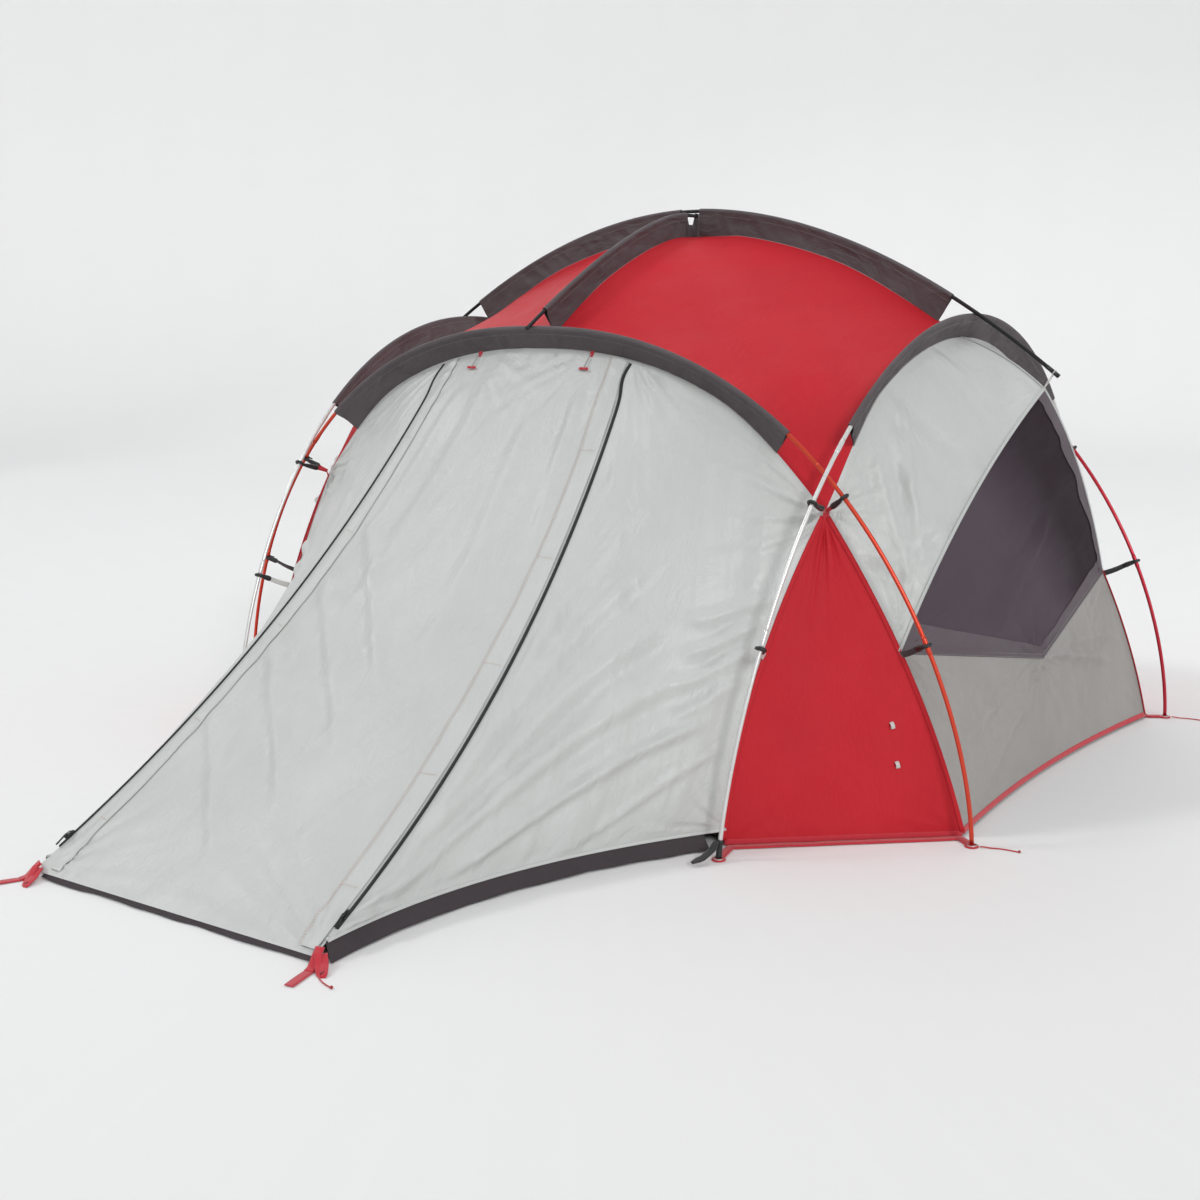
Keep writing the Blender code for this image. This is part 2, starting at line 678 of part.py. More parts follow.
sides = {}
for side in ZIPS:
    arc = ZIPS[side][0]
    below = arc[np.linalg.norm(arc - arc[0], axis=1) > HEADER_DROP]
    start = HINGE_LEFT if side == "left" else HINGE_RIGHT
    below = np.concatenate([[start], below])
    sides[side] = below[below[:, 2] > VALANCE_TOP]
door = taut(resample(np.stack([HINGE_LEFT, HINGE_RIGHT]), DOOR_GRID),
            resample(np.stack([sides["left"][-1], sides["right"][-1]]), DOOR_GRID),
            resample(sides["left"], VEST_ROWS), resample(sides["right"], VEST_ROWS))
sheet("door_panel", trim(door, ZIP_CLEAR, ZIP_CLEAR, SEAM_GAP + 0.001, SEAM_GAP), GREY,
      parent=HINGE)
door_hem = np.stack([sides["left"][-1], sides["right"][-1]])
valance("valance_door", door_hem, (0.03, -1.0), parent=HINGE)
for name in ("door_panel", "valance_door"):
    moved = bpy.data.objects[name]
    moved.data.transform(Matrix.Translation(-Vector(HINGE_MID)))

# ---- zip sliders -----------------------------------------------------------------
SLIDER_AT = 0.085          # from the arc's lower end to the slider
SLIDER_SIZE = (0.013, 0.026, 0.0055)
PULL_SIZE = (0.006, 0.034, 0.0024)


def box_mesh(name, size, shift=(0, 0, 0)):
    mesh = bpy.data.meshes.new(name)
    bm = bmesh.new()
    bmesh.ops.create_cube(bm, size=1.0)
    bmesh.ops.scale(bm, vec=size, verts=bm.verts)
    bmesh.ops.translate(bm, vec=shift, verts=bm.verts)
    bm.to_mesh(mesh)
    bm.free()
    return mesh


def joined(obj, name, mesh, frame):
    """Unites a second solid with obj; the second one is kept as a cutter."""
    other = bpy.data.objects.new(name, mesh)
    CUTTERS.objects.link(other)
    other.parent = obj.parent
    other.matrix_local = frame
    other.hide_render = True
    other.display_type = "WIRE"
    step = obj.modifiers.new("Union", "BOOLEAN")
    step.operation = "UNION"
    step.solver = "EXACT"
    step.object = other


def frame_at(point, x_axis, y_axis, z_axis):
    m = Matrix.Identity(4)
    for k, axis in enumerate((x_axis, y_axis, z_axis)):
        for r in range(3):
            m[r][k] = axis[r]
    m.translation = Vector(point)
    return m


for side in ZIPS:
    line = resample(ZIPS[side][0], 121)
    tangent, across, normal = zip_frame(side, line)
    at = int(round(120 * (1 - SLIDER_AT / length(line))))
    lift = ZIP_HALF_T + 0.0016 + SLIDER_SIZE[2] / 2
    spot = line[at] + normal[at] * lift
    frame = frame_at(spot, across[at], np.cross(normal[at], across[at]), normal[at])
    body = place(f"zip_slider_{side}", box_mesh("slider", SLIDER_SIZE), BLACK, rough=0.4,
                 metal=0.5)
    body.matrix_local = frame
    soft = body.modifiers.new("Round", "BEVEL")
    soft.width = 0.0012
    soft.segments = 2
    down = -1.0 if np.dot(np.cross(normal[at], across[at]), tangent[at]) < 0 else 1.0
    shift = (0, down * (SLIDER_SIZE[1] / 2 + PULL_SIZE[1] / 2 - 0.010), 0.0030)
    joined(body, f"pull_{side}", box_mesh("pull", PULL_SIZE, shift), frame)

# ---- roll-up toggles at the door head --------------------------------------------
TOGGLE_X = (-0.205, 0.165)
TOGGLE_DROP = 0.044
TOGGLE_LIFT = 0.0070
TOGGLE_BAR = (0.0028, 0.026)
for label, x in (("left", TOGGLE_X[0]), ("right", TOGGLE_X[1])):
    top = seam_point(x)
    share = (x - HINGE_LEFT[0]) / (HINGE_RIGHT[0] - HINGE_LEFT[0])
    low = HINGE_LEFT + (HINGE_RIGHT - HINGE_LEFT) * share
    slope = unit(low - top)
    out = unit(np.cross(slope, (1, 0, 0)))
    out = out * np.sign(-out[1])
    start = top + slope * 0.010 + out * TOGGLE_LIFT
    holder = bpy.data.objects.new(f"toggle_hinge_{label}", None)
    holder.parent = BASE
    holder.location = start
    TENT.objects.link(holder)
    end = slope * TOGGLE_DROP
    mesh = bpy.data.meshes.new("toggle_cord")
    bm = bmesh.new()
    bmesh.ops.create_cone(bm, cap_ends=True, segments=10, radius1=CORD_R, radius2=CORD_R,
                          depth=TOGGLE_DROP)
    turn = Vector((0, 0, 1)).rotation_difference(Vector(slope)).to_matrix().to_4x4()
    bmesh.ops.transform(bm, matrix=Matrix.Translation(Vector(end) / 2) @ turn,
                        verts=bm.verts)
    bm.to_mesh(mesh)
    bm.free()
    cord = place(f"toggle_{label}", mesh, WEBBING, parent=holder, rough=0.5)
    bar = bpy.data.meshes.new("toggle_bar")
    bm = bmesh.new()
    bmesh.ops.create_cone(bm, cap_ends=True, segments=12, radius1=TOGGLE_BAR[0],
                          radius2=TOGGLE_BAR[0], depth=TOGGLE_BAR[1])
    bm.to_mesh(bar)
    bm.free()
    frame = Matrix.Translation(Vector(end)) @ Matrix.Rotation(math.pi / 2, 4, "Y")
    joined(cord, f"toggle_bar_{label}", bar, frame)

# ---- crossing clips --------------------------------------------------------------
CLIP_RISE = (0.030, 0.045)


def clip(name, sx, sy):
    corner = mirrored(CORNER, sx, -sy)
    outward = unit((sx * 0.72, sy * 0.62, 0.30))
    knot = corner + outward * 0.0130
    ends = []
    flank = "right" if sx > 0 else "left"
    near = "front" if sy < 0 else "back"
    for side, rise in ((flank, CLIP_RISE[0]), (near, CLIP_RISE[1])):
        centre = LINES[side][0]
        ok = centre[(centre[:, 0] * sx > 0) & (centre[:, 1] * sy > 0)]
        at = ok[np.argmin(np.abs(ok[:, 2] - (CORNER[2] + rise)))]
        way = at - knot
        ends.append(knot + way * (1 - (POLE_R + CLIP_R + 0.0012) / np.linalg.norm(way)))
    tube(name, np.array([ends[0], knot, ends[1]]), CLIP_R, BLACK, 0.5)


clip("corner_clip_front_right", 1, -1)
clip("corner_clip_front_left", -1, -1)
clip("corner_clip_back_right", 1, 1)
clip("corner_clip_back_left", -1, 1)


# ---- ground straps ---------------------------------------------------------------
def flat_strap(name, path, pads, colour, half_w=STRAP_HALF_W, thick=STRAP_T):
    """A webbing strap lying on the ground, with a round pad at each end in pads."""
    path = np.asarray(path, float)
    tangent = np.gradient(path, axis=0)
    tangent /= np.linalg.norm(tangent, axis=1)[:, None]
    side = np.stack([-tangent[:, 1], tangent[:, 0]], axis=1)
    edges = (path[1:-1] - half_w * side[1:-1], (path[1:-1] + half_w * side[1:-1])[::-1])
    ring = []
    for end in (0, 1):
        centre = path[-end]
        heading = tangent[-1] if end else -tangent[0]
        base = math.atan2(heading[1], heading[0])
        radius = STRAP_PAD_R if pads[end] else half_w
        spread = math.pi - math.asin(half_w / radius) if pads[end] else math.pi / 2
        for a in np.linspace(-spread, spread, 13 if pads[end] else 5):
            ring.append(centre + radius * np.array([math.cos(base + a), math.sin(base + a)]))
        ring.extend(edges[end])
    count = len(ring)
    verts = [(p[0], p[1], 0.0) for p in ring] + [(p[0], p[1], thick) for p in ring]
    faces = [tuple(range(count)), tuple(range(count, 2 * count))]
    faces += [(k, (k + 1) % count, count + (k + 1) % count, count + k)
              for k in range(count)]
    return place(name, mesh_from(name, verts, faces), colour, rough=0.8)


def foot_of(side, sx, sy):
    centre = LINES[side][0]
    ok = [p for p in (centre[0], centre[-1]) if p[0] * sx > 0 and p[1] * sy > 0]
    return ok[0][:2]


def corner_strap(name, sx, sy):
    flank = "right" if sx > 0 else "left"
    near = "front" if sy < 0 else "back"
    a, d = foot_of(flank, sx, sy), foot_of(near, sx, sy)
    m = np.array([sx, -sy])
    b = (np.array(HEM_FRONT) + (0.020, -0.006)) * m
    c = (np.array(HEM_SIDE) + (0.002, -0.018)) * m
    path = resample(np.array([(*p, 0) for p in (a, b, c, d)]), 15)[:, :2]
    path[0], path[-1] = a, d
    flat_strap(name, path, (True, True), WEBBING)


corner_strap("corner_strap_front_right", 1, -1)
corner_strap("corner_strap_front_left", -1, -1)
corner_strap("corner_strap_back_right", 1, 1)
corner_strap("corner_strap_back_left", -1, 1)

STAKE_TAB = 0.075
STAKE_TAB_OUT = {"right": (0.26, -0.97), "left": (-0.42, -0.91)}
for side, stake in (("right", STAKE_RIGHT), ("left", STAKE_LEFT)):
    away = unit(STAKE_TAB_OUT[side])
    start = np.array(stake) + away * 0.034
    path = np.array([start + away * STAKE_TAB * f for f in np.linspace(0, 1, 5)])
    flat_strap(f"stake_tab_{side}", path, (False, False), WEBBING, thick=0.003)

# ---- tail cords ------------------------------------------------------------------
def tail(name, start, heading, run, bend):
    """A short cord end lying on the ground."""
    start = np.array(start)
    heading = unit(heading)
    side = np.array([-heading[1], heading[0]])
    f = np.linspace(0, 1, 14)[:, None]
    flat = start + heading * run * f + side * bend * np.sin(math.pi * f)
    height = CORD_R + 0.0003 + 0.0028 * (1 - smooth(f * 3))
    tube(name, np.concatenate([flat, height], axis=1), CORD_R, WEBBING, 0.6)


front_foot = foot_of("front", 1, -1)
back_foot = foot_of("back", 1, 1)
tail("tail_cord_front", front_foot + (STRAP_PAD_R + 0.003, 0.0), (1.0, 0.30), 0.085, 0.008)
tail("tail_cord_back", back_foot + (STRAP_PAD_R + 0.003, 0.0), (1.0, 0.25), 0.085, 0.008)
tail("tail_cord_vestibule", np.array(STAKE_RIGHT) + (0.026, -0.036), (0.95, -0.40), 0.075,
     -0.006)


# ---- floor and inner front wall --------------------------------------------------
def plan_prism(name, outline, low, high, colour):
    count = len(outline)
    verts = [(x, y, low) for x, y in outline] + [(x, y, high) for x, y in outline]
    faces = [tuple(range(count)), tuple(range(count, 2 * count))]
    faces += [(k, (k + 1) % count, count + (k + 1) % count, count + k)
              for k in range(count)]
    return place(name, mesh_from(name, verts, faces), colour, rough=0.9)


fx, fy = FLOOR_FRONT
gx, gy = FLOOR_SIDE
plan_prism("floor", [(-fx, -fy), (fx, -fy), (gx, -gy), (gx, gy), (fx, fy), (-fx, fy),
                     (-gx, gy), (-gx, -gy)], 0.0, FLOOR_T, SMOKE)

WALL_HALF_LOW = 0.690
WALL_HALF_HIGH = 0.715
WALL_SHOULDER = 0.60       # height fraction where the sides turn into the arch
DOORWAY_HALF = 0.330
DOORWAY_LOW = 0.10
DOORWAY_HIGH = 0.84


def wall_point(x, f):
    return np.array([x, WALL_BASE_Y + (WALL_TOP_Y - WALL_BASE_Y) * f,
                     WALL_BASE_Z + (WALL_TOP_Z - WALL_BASE_Z) * f])


def outline_of(half_low, half_high, low, shoulder, high, arc_n=13):
    """A closed outline, flat at the bottom and arched at the top, all counted alike."""
    pts = [(x, low) for x in np.linspace(-half_low, half_low, 5)]
    pts += [(half_low + (half_high - half_low) * k / 3, low + (shoulder - low) * k / 3)
            for k in (1, 2)]
    pts += [(half_high * math.cos(a), shoulder + (high - shoulder) * math.sin(a))
            for a in np.linspace(0, math.pi, arc_n)]
    pts += [(-half_low - (half_high - half_low) * k / 3, low + (shoulder - low) * k / 3)
            for k in (2, 1)]
    return pts


outer = outline_of(WALL_HALF_LOW, WALL_HALF_HIGH, 0.0, WALL_SHOULDER, 1.0)
inner = outline_of(DOORWAY_HALF * 0.9, DOORWAY_HALF, DOORWAY_LOW, 0.58, DOORWAY_HIGH)
count = len(outer)
verts = [wall_point(*p) for p in outer] + [wall_point(*p) for p in inner]
faces = [(k, (k + 1) % count, count + (k + 1) % count, count + k) for k in range(count)]
thicken(place("inner_front_wall", mesh_from("inner_front_wall", verts, faces), GREY))
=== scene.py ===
"""Looks of the dome tent: fabric skins, fin sleeves, poles, zips, webbing, clips and
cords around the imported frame. Metres, +Z up, the vestibule towards -Y."""
import math

import bpy
import numpy as np
from mathutils import Matrix, Vector


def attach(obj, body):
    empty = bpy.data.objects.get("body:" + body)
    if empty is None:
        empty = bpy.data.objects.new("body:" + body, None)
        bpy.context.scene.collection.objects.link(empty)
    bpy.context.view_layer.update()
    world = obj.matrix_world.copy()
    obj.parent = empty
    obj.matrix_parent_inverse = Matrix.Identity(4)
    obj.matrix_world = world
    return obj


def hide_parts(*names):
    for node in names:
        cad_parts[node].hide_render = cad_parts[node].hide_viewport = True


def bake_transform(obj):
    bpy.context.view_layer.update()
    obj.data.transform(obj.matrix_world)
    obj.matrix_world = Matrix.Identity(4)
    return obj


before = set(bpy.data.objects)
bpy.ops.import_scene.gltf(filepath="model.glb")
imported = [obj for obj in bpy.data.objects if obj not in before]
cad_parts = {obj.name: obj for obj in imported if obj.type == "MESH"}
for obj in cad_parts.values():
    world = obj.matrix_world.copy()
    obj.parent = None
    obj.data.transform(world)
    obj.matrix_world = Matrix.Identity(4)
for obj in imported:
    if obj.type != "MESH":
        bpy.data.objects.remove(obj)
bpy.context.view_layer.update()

SCENE = bpy.context.scene
SHIFT = np.array([0.0, 0.5094, 0.0])      # tent centre to the middle of the footprint

# ---- camera ----------------------------------------------------------------------
CAMERA_AT = np.array([2.52014, -3.21578, 1.18347])
CAMERA_YAW, CAMERA_PITCH, CAMERA_ROLL = 2.22556543, -0.18935344, -0.00987053
CAMERA_LENS = 45.96


def unit(v):
    v = np.asarray(v, float)
    return v / np.linalg.norm(v)


def placed(name, data):
    """A new object of the scene."""
    obj = bpy.data.objects.new(name, data)
    SCENE.collection.objects.link(obj)
    return obj


def add_camera():
    data = bpy.data.cameras.new("camera")
    data.lens = CAMERA_LENS
    data.sensor_width, data.clip_end = 36.0, 60.0
    camera = placed("camera", data)
    ahead = np.array([math.cos(CAMERA_PITCH) * math.cos(CAMERA_YAW),
                      math.cos(CAMERA_PITCH) * math.sin(CAMERA_YAW),
                      math.sin(CAMERA_PITCH)])
    right = unit(np.cross(ahead, (0, 0, 1)))
    up = np.cross(right, ahead)
    c, s = math.cos(CAMERA_ROLL), math.sin(CAMERA_ROLL)
    m = Matrix.Identity(4)
    for k, axis in enumerate((c * right + s * up, -s * right + c * up, -ahead)):
        for r in range(3):
            m[r][k] = axis[r]
    m.translation = Vector(CAMERA_AT)
    camera.matrix_world = m
    SCENE.camera = camera


add_camera()


# ---- materials -------------------------------------------------------------------
WAVE_BAND = 0.314          # a wave texture's period at scale 1, in UV units


class Nodes:
    """A small builder for one material's node tree."""

    def __init__(self, name, rough, metal=0.0):
        self.material = bpy.data.materials.new(name)
        self.material.use_nodes = True
        self.tree = self.material.node_tree
        self.shader = self.tree.nodes["Principled BSDF"]
        self.shader.inputs["Roughness"].default_value = rough
        self.shader.inputs["Metallic"].default_value = metal

    def node(self, kind, **settings):
        made = self.tree.nodes.new(kind)
        for key, value in settings.items():
            setattr(made, key, value)
        return made

    def link(self, out, into):
        self.tree.links.new(out, into)

    def uv(self, scale=(1, 1, 1), turn=0.0):
        coordinates = self.node("ShaderNodeTexCoord")
        mapping = self.node("ShaderNodeMapping")
        mapping.inputs["Scale"].default_value = scale
        mapping.inputs["Rotation"].default_value = (0, 0, turn)
        self.link(coordinates.outputs["UV"], mapping.inputs["Vector"])
        return mapping.outputs["Vector"]

    def noise(self, vector, scale, detail, rough=0.5, distort=0.0):
        made = self.node("ShaderNodeTexNoise")
        made.inputs["Scale"].default_value = scale
        made.inputs["Detail"].default_value = detail
        made.inputs["Roughness"].default_value = rough
        made.inputs["Distortion"].default_value = distort
        self.link(vector, made.inputs["Vector"])
        return made.outputs["Fac"]

    def wave(self, vector, period, direction):
        made = self.node("ShaderNodeTexWave", bands_direction=direction)
        made.inputs["Scale"].default_value = WAVE_BAND / period
        self.link(vector, made.inputs["Vector"])
        return made.outputs["Fac"]

    def maths(self, kind, a, b):
        made = self.node("ShaderNodeMath", operation=kind)
        for k, value in enumerate((a, b)):
            if isinstance(value, (int, float)):
                made.inputs[k].default_value = value
            else:
                self.link(value, made.inputs[k])
        return made.outputs[0]

    def spread(self, value, low, high, to_low=0.0, to_high=1.0):
        made = self.node("ShaderNodeMapRange")
        for k, number in zip((1, 2, 3, 4), (low, high, to_low, to_high)):
            made.inputs[k].default_value = number
        self.link(value, made.inputs[0])
        return made.outputs[0]

    def mix(self, factor, a, b):
        made = self.node("ShaderNodeMix", data_type="RGBA")
        self.link(factor, made.inputs["Factor"])
        for socket, value in ((made.inputs[6], a), (made.inputs[7], b)):
            if isinstance(value, tuple):
                socket.default_value = (*value, 1.0)
            else:
                self.link(value, socket)
        return made.outputs[2]

    def bump(self, height, strength, distance, before=None):
        made = self.node("ShaderNodeBump")
        made.inputs["Strength"].default_value = strength
        made.inputs["Distance"].default_value = distance
        self.link(height, made.inputs["Height"])
        if before is not None:
            self.link(before, made.inputs["Normal"])
        return made.outputs["Normal"]

    def finish(self, colour, rough=None, normal=None):
        for value, socket in ((colour, "Base Color"), (rough, "Roughness"),
                              (normal, "Normal")):
            if value is not None:
                self.link(value, self.shader.inputs[socket])
        return self.material


def tinted(colour, share):
    """A lighter or darker shade of a colour."""
    return tuple(min(1.0, c * share) for c in colour)


THREAD = 0.0011            # spacing of the fabric's threads


def ripstop(name, colour, rough=0.50, sheen=0.12, crinkle=0.6, cell=0.0055, shade=0.90,
            deep=None, gloss_level=0.40):
    """Coated ripstop: a square rip grid, a fine weave, soft colour drift, and crinkles.
    deep is (low, high, colour): below a height in the UVs the cloth takes that colour, painted
    shade for the dark inside of the tent seen through it."""
    n = Nodes(name, rough)
    flat = n.uv()
    drift = n.noise(flat, 2.2, 3.0, 0.55)
    dust = n.noise(flat, 11.0, 5.0, 0.6, 0.4)
    grid = n.maths("MAXIMUM", n.wave(flat, cell, "X"), n.wave(flat, cell, "Y"))
    lines = n.spread(grid, 0.93, 1.0)
    base = n.mix(n.spread(drift, 0.30, 0.72), tinted(colour, shade), tinted(colour, 1.04))
    base = n.mix(n.spread(dust, 0.40, 0.80, 0.0, 0.22), base, tinted(colour, 0.86))
    base = n.mix(n.spread(lines, 0.0, 1.0, 0.0, 0.10), base, tinted(colour, 1.14))
    # painted shade: below a height in the UVs the colour gives way to the deep colour, a painted
    # shadow of the tent's dark inside
    if deep is not None:
        place = n.node("ShaderNodeSeparateXYZ")
        n.link(flat, place.inputs[0])
        base = n.mix(n.spread(place.outputs[1], deep[0], deep[1], 1.0, 0.0), base, deep[2])
    weave = n.maths("ADD", n.wave(flat, THREAD, "X"), n.wave(flat, THREAD, "Y"))
    small = n.bump(n.maths("ADD", weave, n.maths("MULTIPLY", lines, 2.0)), 0.10, 0.0003)
    folds = n.noise(n.uv(scale=(1.0, 0.45, 1.0), turn=0.35), 14.0, 4.0, 0.62, 1.1)
    sharp = n.maths("ABSOLUTE", n.maths("SUBTRACT", folds, 0.5), 0.0)
    normal = n.bump(sharp, crinkle, 0.006, small)
    gloss = n.spread(n.noise(flat, 6.0, 4.0), 0.3, 0.7, rough - 0.07, rough + 0.08)
    n.shader.inputs["Sheen Weight"].default_value = sheen
    n.shader.inputs["Sheen Roughness"].default_value = 0.35
    n.shader.inputs["Specular IOR Level"].default_value = gloss_level
    return n.finish(base, gloss, normal)


def webbing(name, colour, rough=0.75, pitch=0.0022):
    """Woven tape: a herringbone of ribs, fuzzy and a little worn."""
    n = Nodes(name, rough)
    ribs = n.maths("ADD", n.wave(n.uv(turn=0.6), pitch, "X"),
                   n.wave(n.uv(turn=-0.6), pitch, "X"))
    fuzz = n.noise(n.uv(), 60.0, 4.0, 0.6)
    worn = n.noise(n.uv(), 9.0, 3.0, 0.5)
    base = n.mix(n.spread(ribs, 0.2, 1.6), tinted(colour, 0.62), tinted(colour, 1.05))
    base = n.mix(n.spread(worn, 0.48, 0.8, 0.0, 0.35), base, tinted(colour, 0.80))
    normal = n.bump(n.maths("ADD", ribs, fuzz), 0.45, 0.0005)
    n.shader.inputs["Sheen Weight"].default_value = 0.3
    return n.finish(base, n.spread(fuzz, 0.3, 0.7, rough - 0.06, rough + 0.1), normal)


def metal(name, colour, rough, metallic, coat=0.0):
    """Anodised or polished tube, with long draw marks and small scuffs."""
    n = Nodes(name, rough, metallic)
    drawn = n.noise(n.uv(scale=(40.0, 1.0, 1.0)), 30.0, 3.0)
    scuff = n.noise(n.uv(), 25.0, 5.0, 0.7)
    base = n.mix(n.spread(scuff, 0.58, 0.75, 0.0, 0.30), colour, tinted(colour, 1.35))
    normal = n.bump(drawn, 0.12, 0.0003)
    n.shader.inputs["Coat Weight"].default_value = coat
    n.shader.inputs["Coat Roughness"].default_value = 0.15
    return n.finish(base, n.spread(scuff, 0.3, 0.8, rough - 0.05, rough + 0.15), normal)


def plastic(name, colour, rough):
    """Moulded plastic with a fine spark-eroded grain and rubbed spots."""
    n = Nodes(name, rough)
    grain = n.noise(n.uv(), 220.0, 2.0)
    rub = n.noise(n.uv(), 20.0, 4.0, 0.6)
    base = n.mix(n.spread(rub, 0.5, 0.8, 0.0, 0.5), colour, tinted(colour, 1.8))
    return n.finish(base, n.spread(rub, 0.3, 0.8, rough - 0.08, rough + 0.12),
                    n.bump(grain, 0.25, 0.0003))


GREY_CLOTH = (0.540, 0.555, 0.542)
RED_CLOTH = (0.520, 0.018, 0.028)
WARM_CLOTH = (0.318, 0.304, 0.288)
DARK_CLOTH = (0.105, 0.088, 0.094)
SLATE_CLOTH = (0.088, 0.068, 0.083)
# painted shade: the dark inside of the tent seen through the window, painted into the window's
# colour
SHADOW_CLOTH = (0.028, 0.018, 0.024)
MAT = {        # each with the slot of the record whose finish it stands for
    "grey": ("grey_fabric", ripstop("grey_ripstop", GREY_CLOTH, 0.42, crinkle=0.9, shade=0.93,
                                    gloss_level=0.50)),
    "red": ("red_fabric", ripstop("red_ripstop", RED_CLOTH, 0.62, 0.0, gloss_level=0.16)),
    "warm": ("lower_fabric", ripstop("warm_grey_ripstop", WARM_CLOTH, crinkle=0.9)),
    "dark": ("sleeve_fabric", ripstop("dark_sleeve_cloth", DARK_CLOTH, 0.60, 0.0, 1.5, shade=0.66,
                                      gloss_level=0.35)),
    # the window's band along its top edge takes SHADOW_CLOTH: painted shade for the dark inside
    # seen through the mesh
    "slate": ("window_fabric", ripstop("window_mesh", SLATE_CLOTH, 0.72, 0.0, 0.35, 0.004,
                                       deep=(0.18, 0.42, SHADOW_CLOTH), gloss_level=0.10)),
    "slate_strip": ("window_fabric", ripstop("window_edge_cloth", (0.118, 0.096, 0.108), 0.60,
                                             0.0, 0.4, gloss_level=0.2)),
    "valance": ("valance_fabric", ripstop("valance_cloth", (0.060, 0.050, 0.055), 0.72, 0.0, 0.9,
                                          gloss_level=0.15)),
    "floor": ("floor_fabric", ripstop("groundsheet", (0.16, 0.16, 0.165), 0.60, 0.10, 0.6)),
    "inner": ("grey_fabric", ripstop("inner_wall_cloth", (0.50, 0.50, 0.48), 0.65, 0.2, 0.4)),
    "tape": ("zip_tape", webbing("zip_tape", (0.020, 0.019, 0.021), 0.80, 0.0014)),
    "coil": ("zip_tape", plastic("zip_coil", (0.012, 0.012, 0.013), 0.35)),
    "strap": ("red_webbing", webbing("red_webbing", (0.600, 0.018, 0.036))),
    "black_strap": ("clip_plastic", webbing("black_webbing", (0.020, 0.020, 0.022))),
    "white_strap": ("clip_plastic", webbing("white_tape", (0.66, 0.65, 0.62), 0.8, 0.0015)),
    "red_cord": ("red_cord", webbing("red_cord_sheath", (0.620, 0.030, 0.040), 0.7, 0.0012)),
    "white_cord": ("red_cord", webbing("white_cord_sheath", (0.74, 0.73, 0.70), 0.7, 0.0012)),
    "thread": ("grey_fabric", webbing("peach_thread", (0.60, 0.33, 0.27), 0.8, 0.0010)),
    "grey_thread": ("sleeve_fabric", webbing("grey_thread", (0.40, 0.41, 0.40), 0.8, 0.0010)),
    "pale_thread": ("grey_fabric", webbing("pale_thread", (0.58, 0.58, 0.56), 0.8, 0.0010)),
    "red_thread": ("red_webbing", webbing("red_thread", (0.36, 0.02, 0.03), 0.8, 0.0010)),
    "piping": ("sleeve_fabric", webbing("light_piping", (0.30, 0.24, 0.25), 0.7, 0.0015)),
    "pole_red": ("pole_red", metal("pole_anodised_red", (0.640, 0.060, 0.028), 0.30, 0.75, 0.2)),
    "pole_crimson": ("pole_red", metal("pole_anodised_crimson", (0.480, 0.018, 0.040), 0.32, 0.70,
                                       0.2)),
    "pole_silver": ("pole_silver", metal("pole_silver", (0.70, 0.70, 0.69), 0.30, 0.60)),
    "pole_black": ("pole_black", metal("pole_black", (0.020, 0.020, 0.021), 0.38, 0.5)),
    "clip": ("clip_plastic", plastic("clip_plastic", (0.012, 0.012, 0.013), 0.42)),
    "slider": ("zip_metal", metal("slider_black", (0.030, 0.030, 0.032), 0.35, 0.7)),
    "grommet": ("clip_plastic", metal("grommet", (0.55, 0.54, 0.52), 0.35, 1.0)),
}


# ---- geometry helpers ------------------------------------------------------------
def run_along(points):
    """The distance from a polyline's start to each of its points."""
    return np.concatenate([[0.0], np.cumsum(np.linalg.norm(np.diff(points, axis=0), axis=1))])


def resample(points, count, start=0.0, end=0.0):
    """count points evenly along a polyline, from start in to end short of its end."""
    points = np.asarray(points, float)
    run = run_along(points)
    wanted = np.linspace(start, run[-1] - end, count)
    return np.stack([np.interp(wanted, run, points[:, k]) for k in range(3)], axis=1)


def length(points):
    """A polyline's length."""
    return float(np.linalg.norm(np.diff(points, axis=0), axis=1).sum())


def units(rows):
    """Each row of an array at unit length."""
    return rows / np.maximum(np.linalg.norm(rows, axis=1), 1e-12)[:, None]


def tangents(line):
    """The direction of a line at each of its points."""
    return units(np.gradient(line, axis=0))


def bowed(a, b, bow, count=120):
    """A line from a to b that bulges by bow at its middle."""
    a, b = np.asarray(a, float), np.asarray(b, float)
    v = np.linspace(0, 1, count)[:, None]
    return a + (b - a) * v + np.asarray(bow, float) * 4 * v * (1 - v)


def smooth(x):
    x = np.clip(x, 0.0, 1.0)
    return x * x * (3 - 2 * x)


def mirrored(points, x, y):
    """Points with their x and y times the given signs."""
    return np.asarray(points) * np.array([x, y, 1.0])


def ordered(line, start):
    """The line with the end nearest start first."""
    a = np.linalg.norm(line[0] - np.asarray(start))
    b = np.linalg.norm(line[-1] - np.asarray(start))
    return line if a <= b else line[::-1]


def coons(top, bottom, left, right):
    """A plain patch between four edges."""
    rows, cols = len(left), len(top)
    u = np.linspace(0, 1, cols)[None, :, None]
    v = np.linspace(0, 1, rows)[:, None, None]
    return ((1 - v) * top[None] + v * bottom[None]
            + (1 - u) * left[:, None] + u * right[:, None]
            - (1 - u) * (1 - v) * top[0] - u * (1 - v) * top[-1]
            - (1 - u) * v * bottom[0] - u * v * bottom[-1])


def blended(a, b, c, d, fx, fy):
    """The value between four corners: a and b above, c and d below."""
    return (a * (1 - fx) + b * fx) * (1 - fy) + (c * (1 - fx) + d * fx) * fy


def zoomed(grid, rows, cols):
    """The grid read at a finer spacing."""
    y = np.linspace(0, grid.shape[0] - 1, rows)
    x = np.linspace(0, grid.shape[1] - 1, cols)
    i = np.minimum(y.astype(int), grid.shape[0] - 2)
    j = np.minimum(x.astype(int), grid.shape[1] - 2)
    fy, fx = (y - i)[:, None, None], (x - j)[None, :, None]
    return blended(grid[i][:, j], grid[i][:, j + 1], grid[i + 1][:, j],
                   grid[i + 1][:, j + 1], fx, fy)


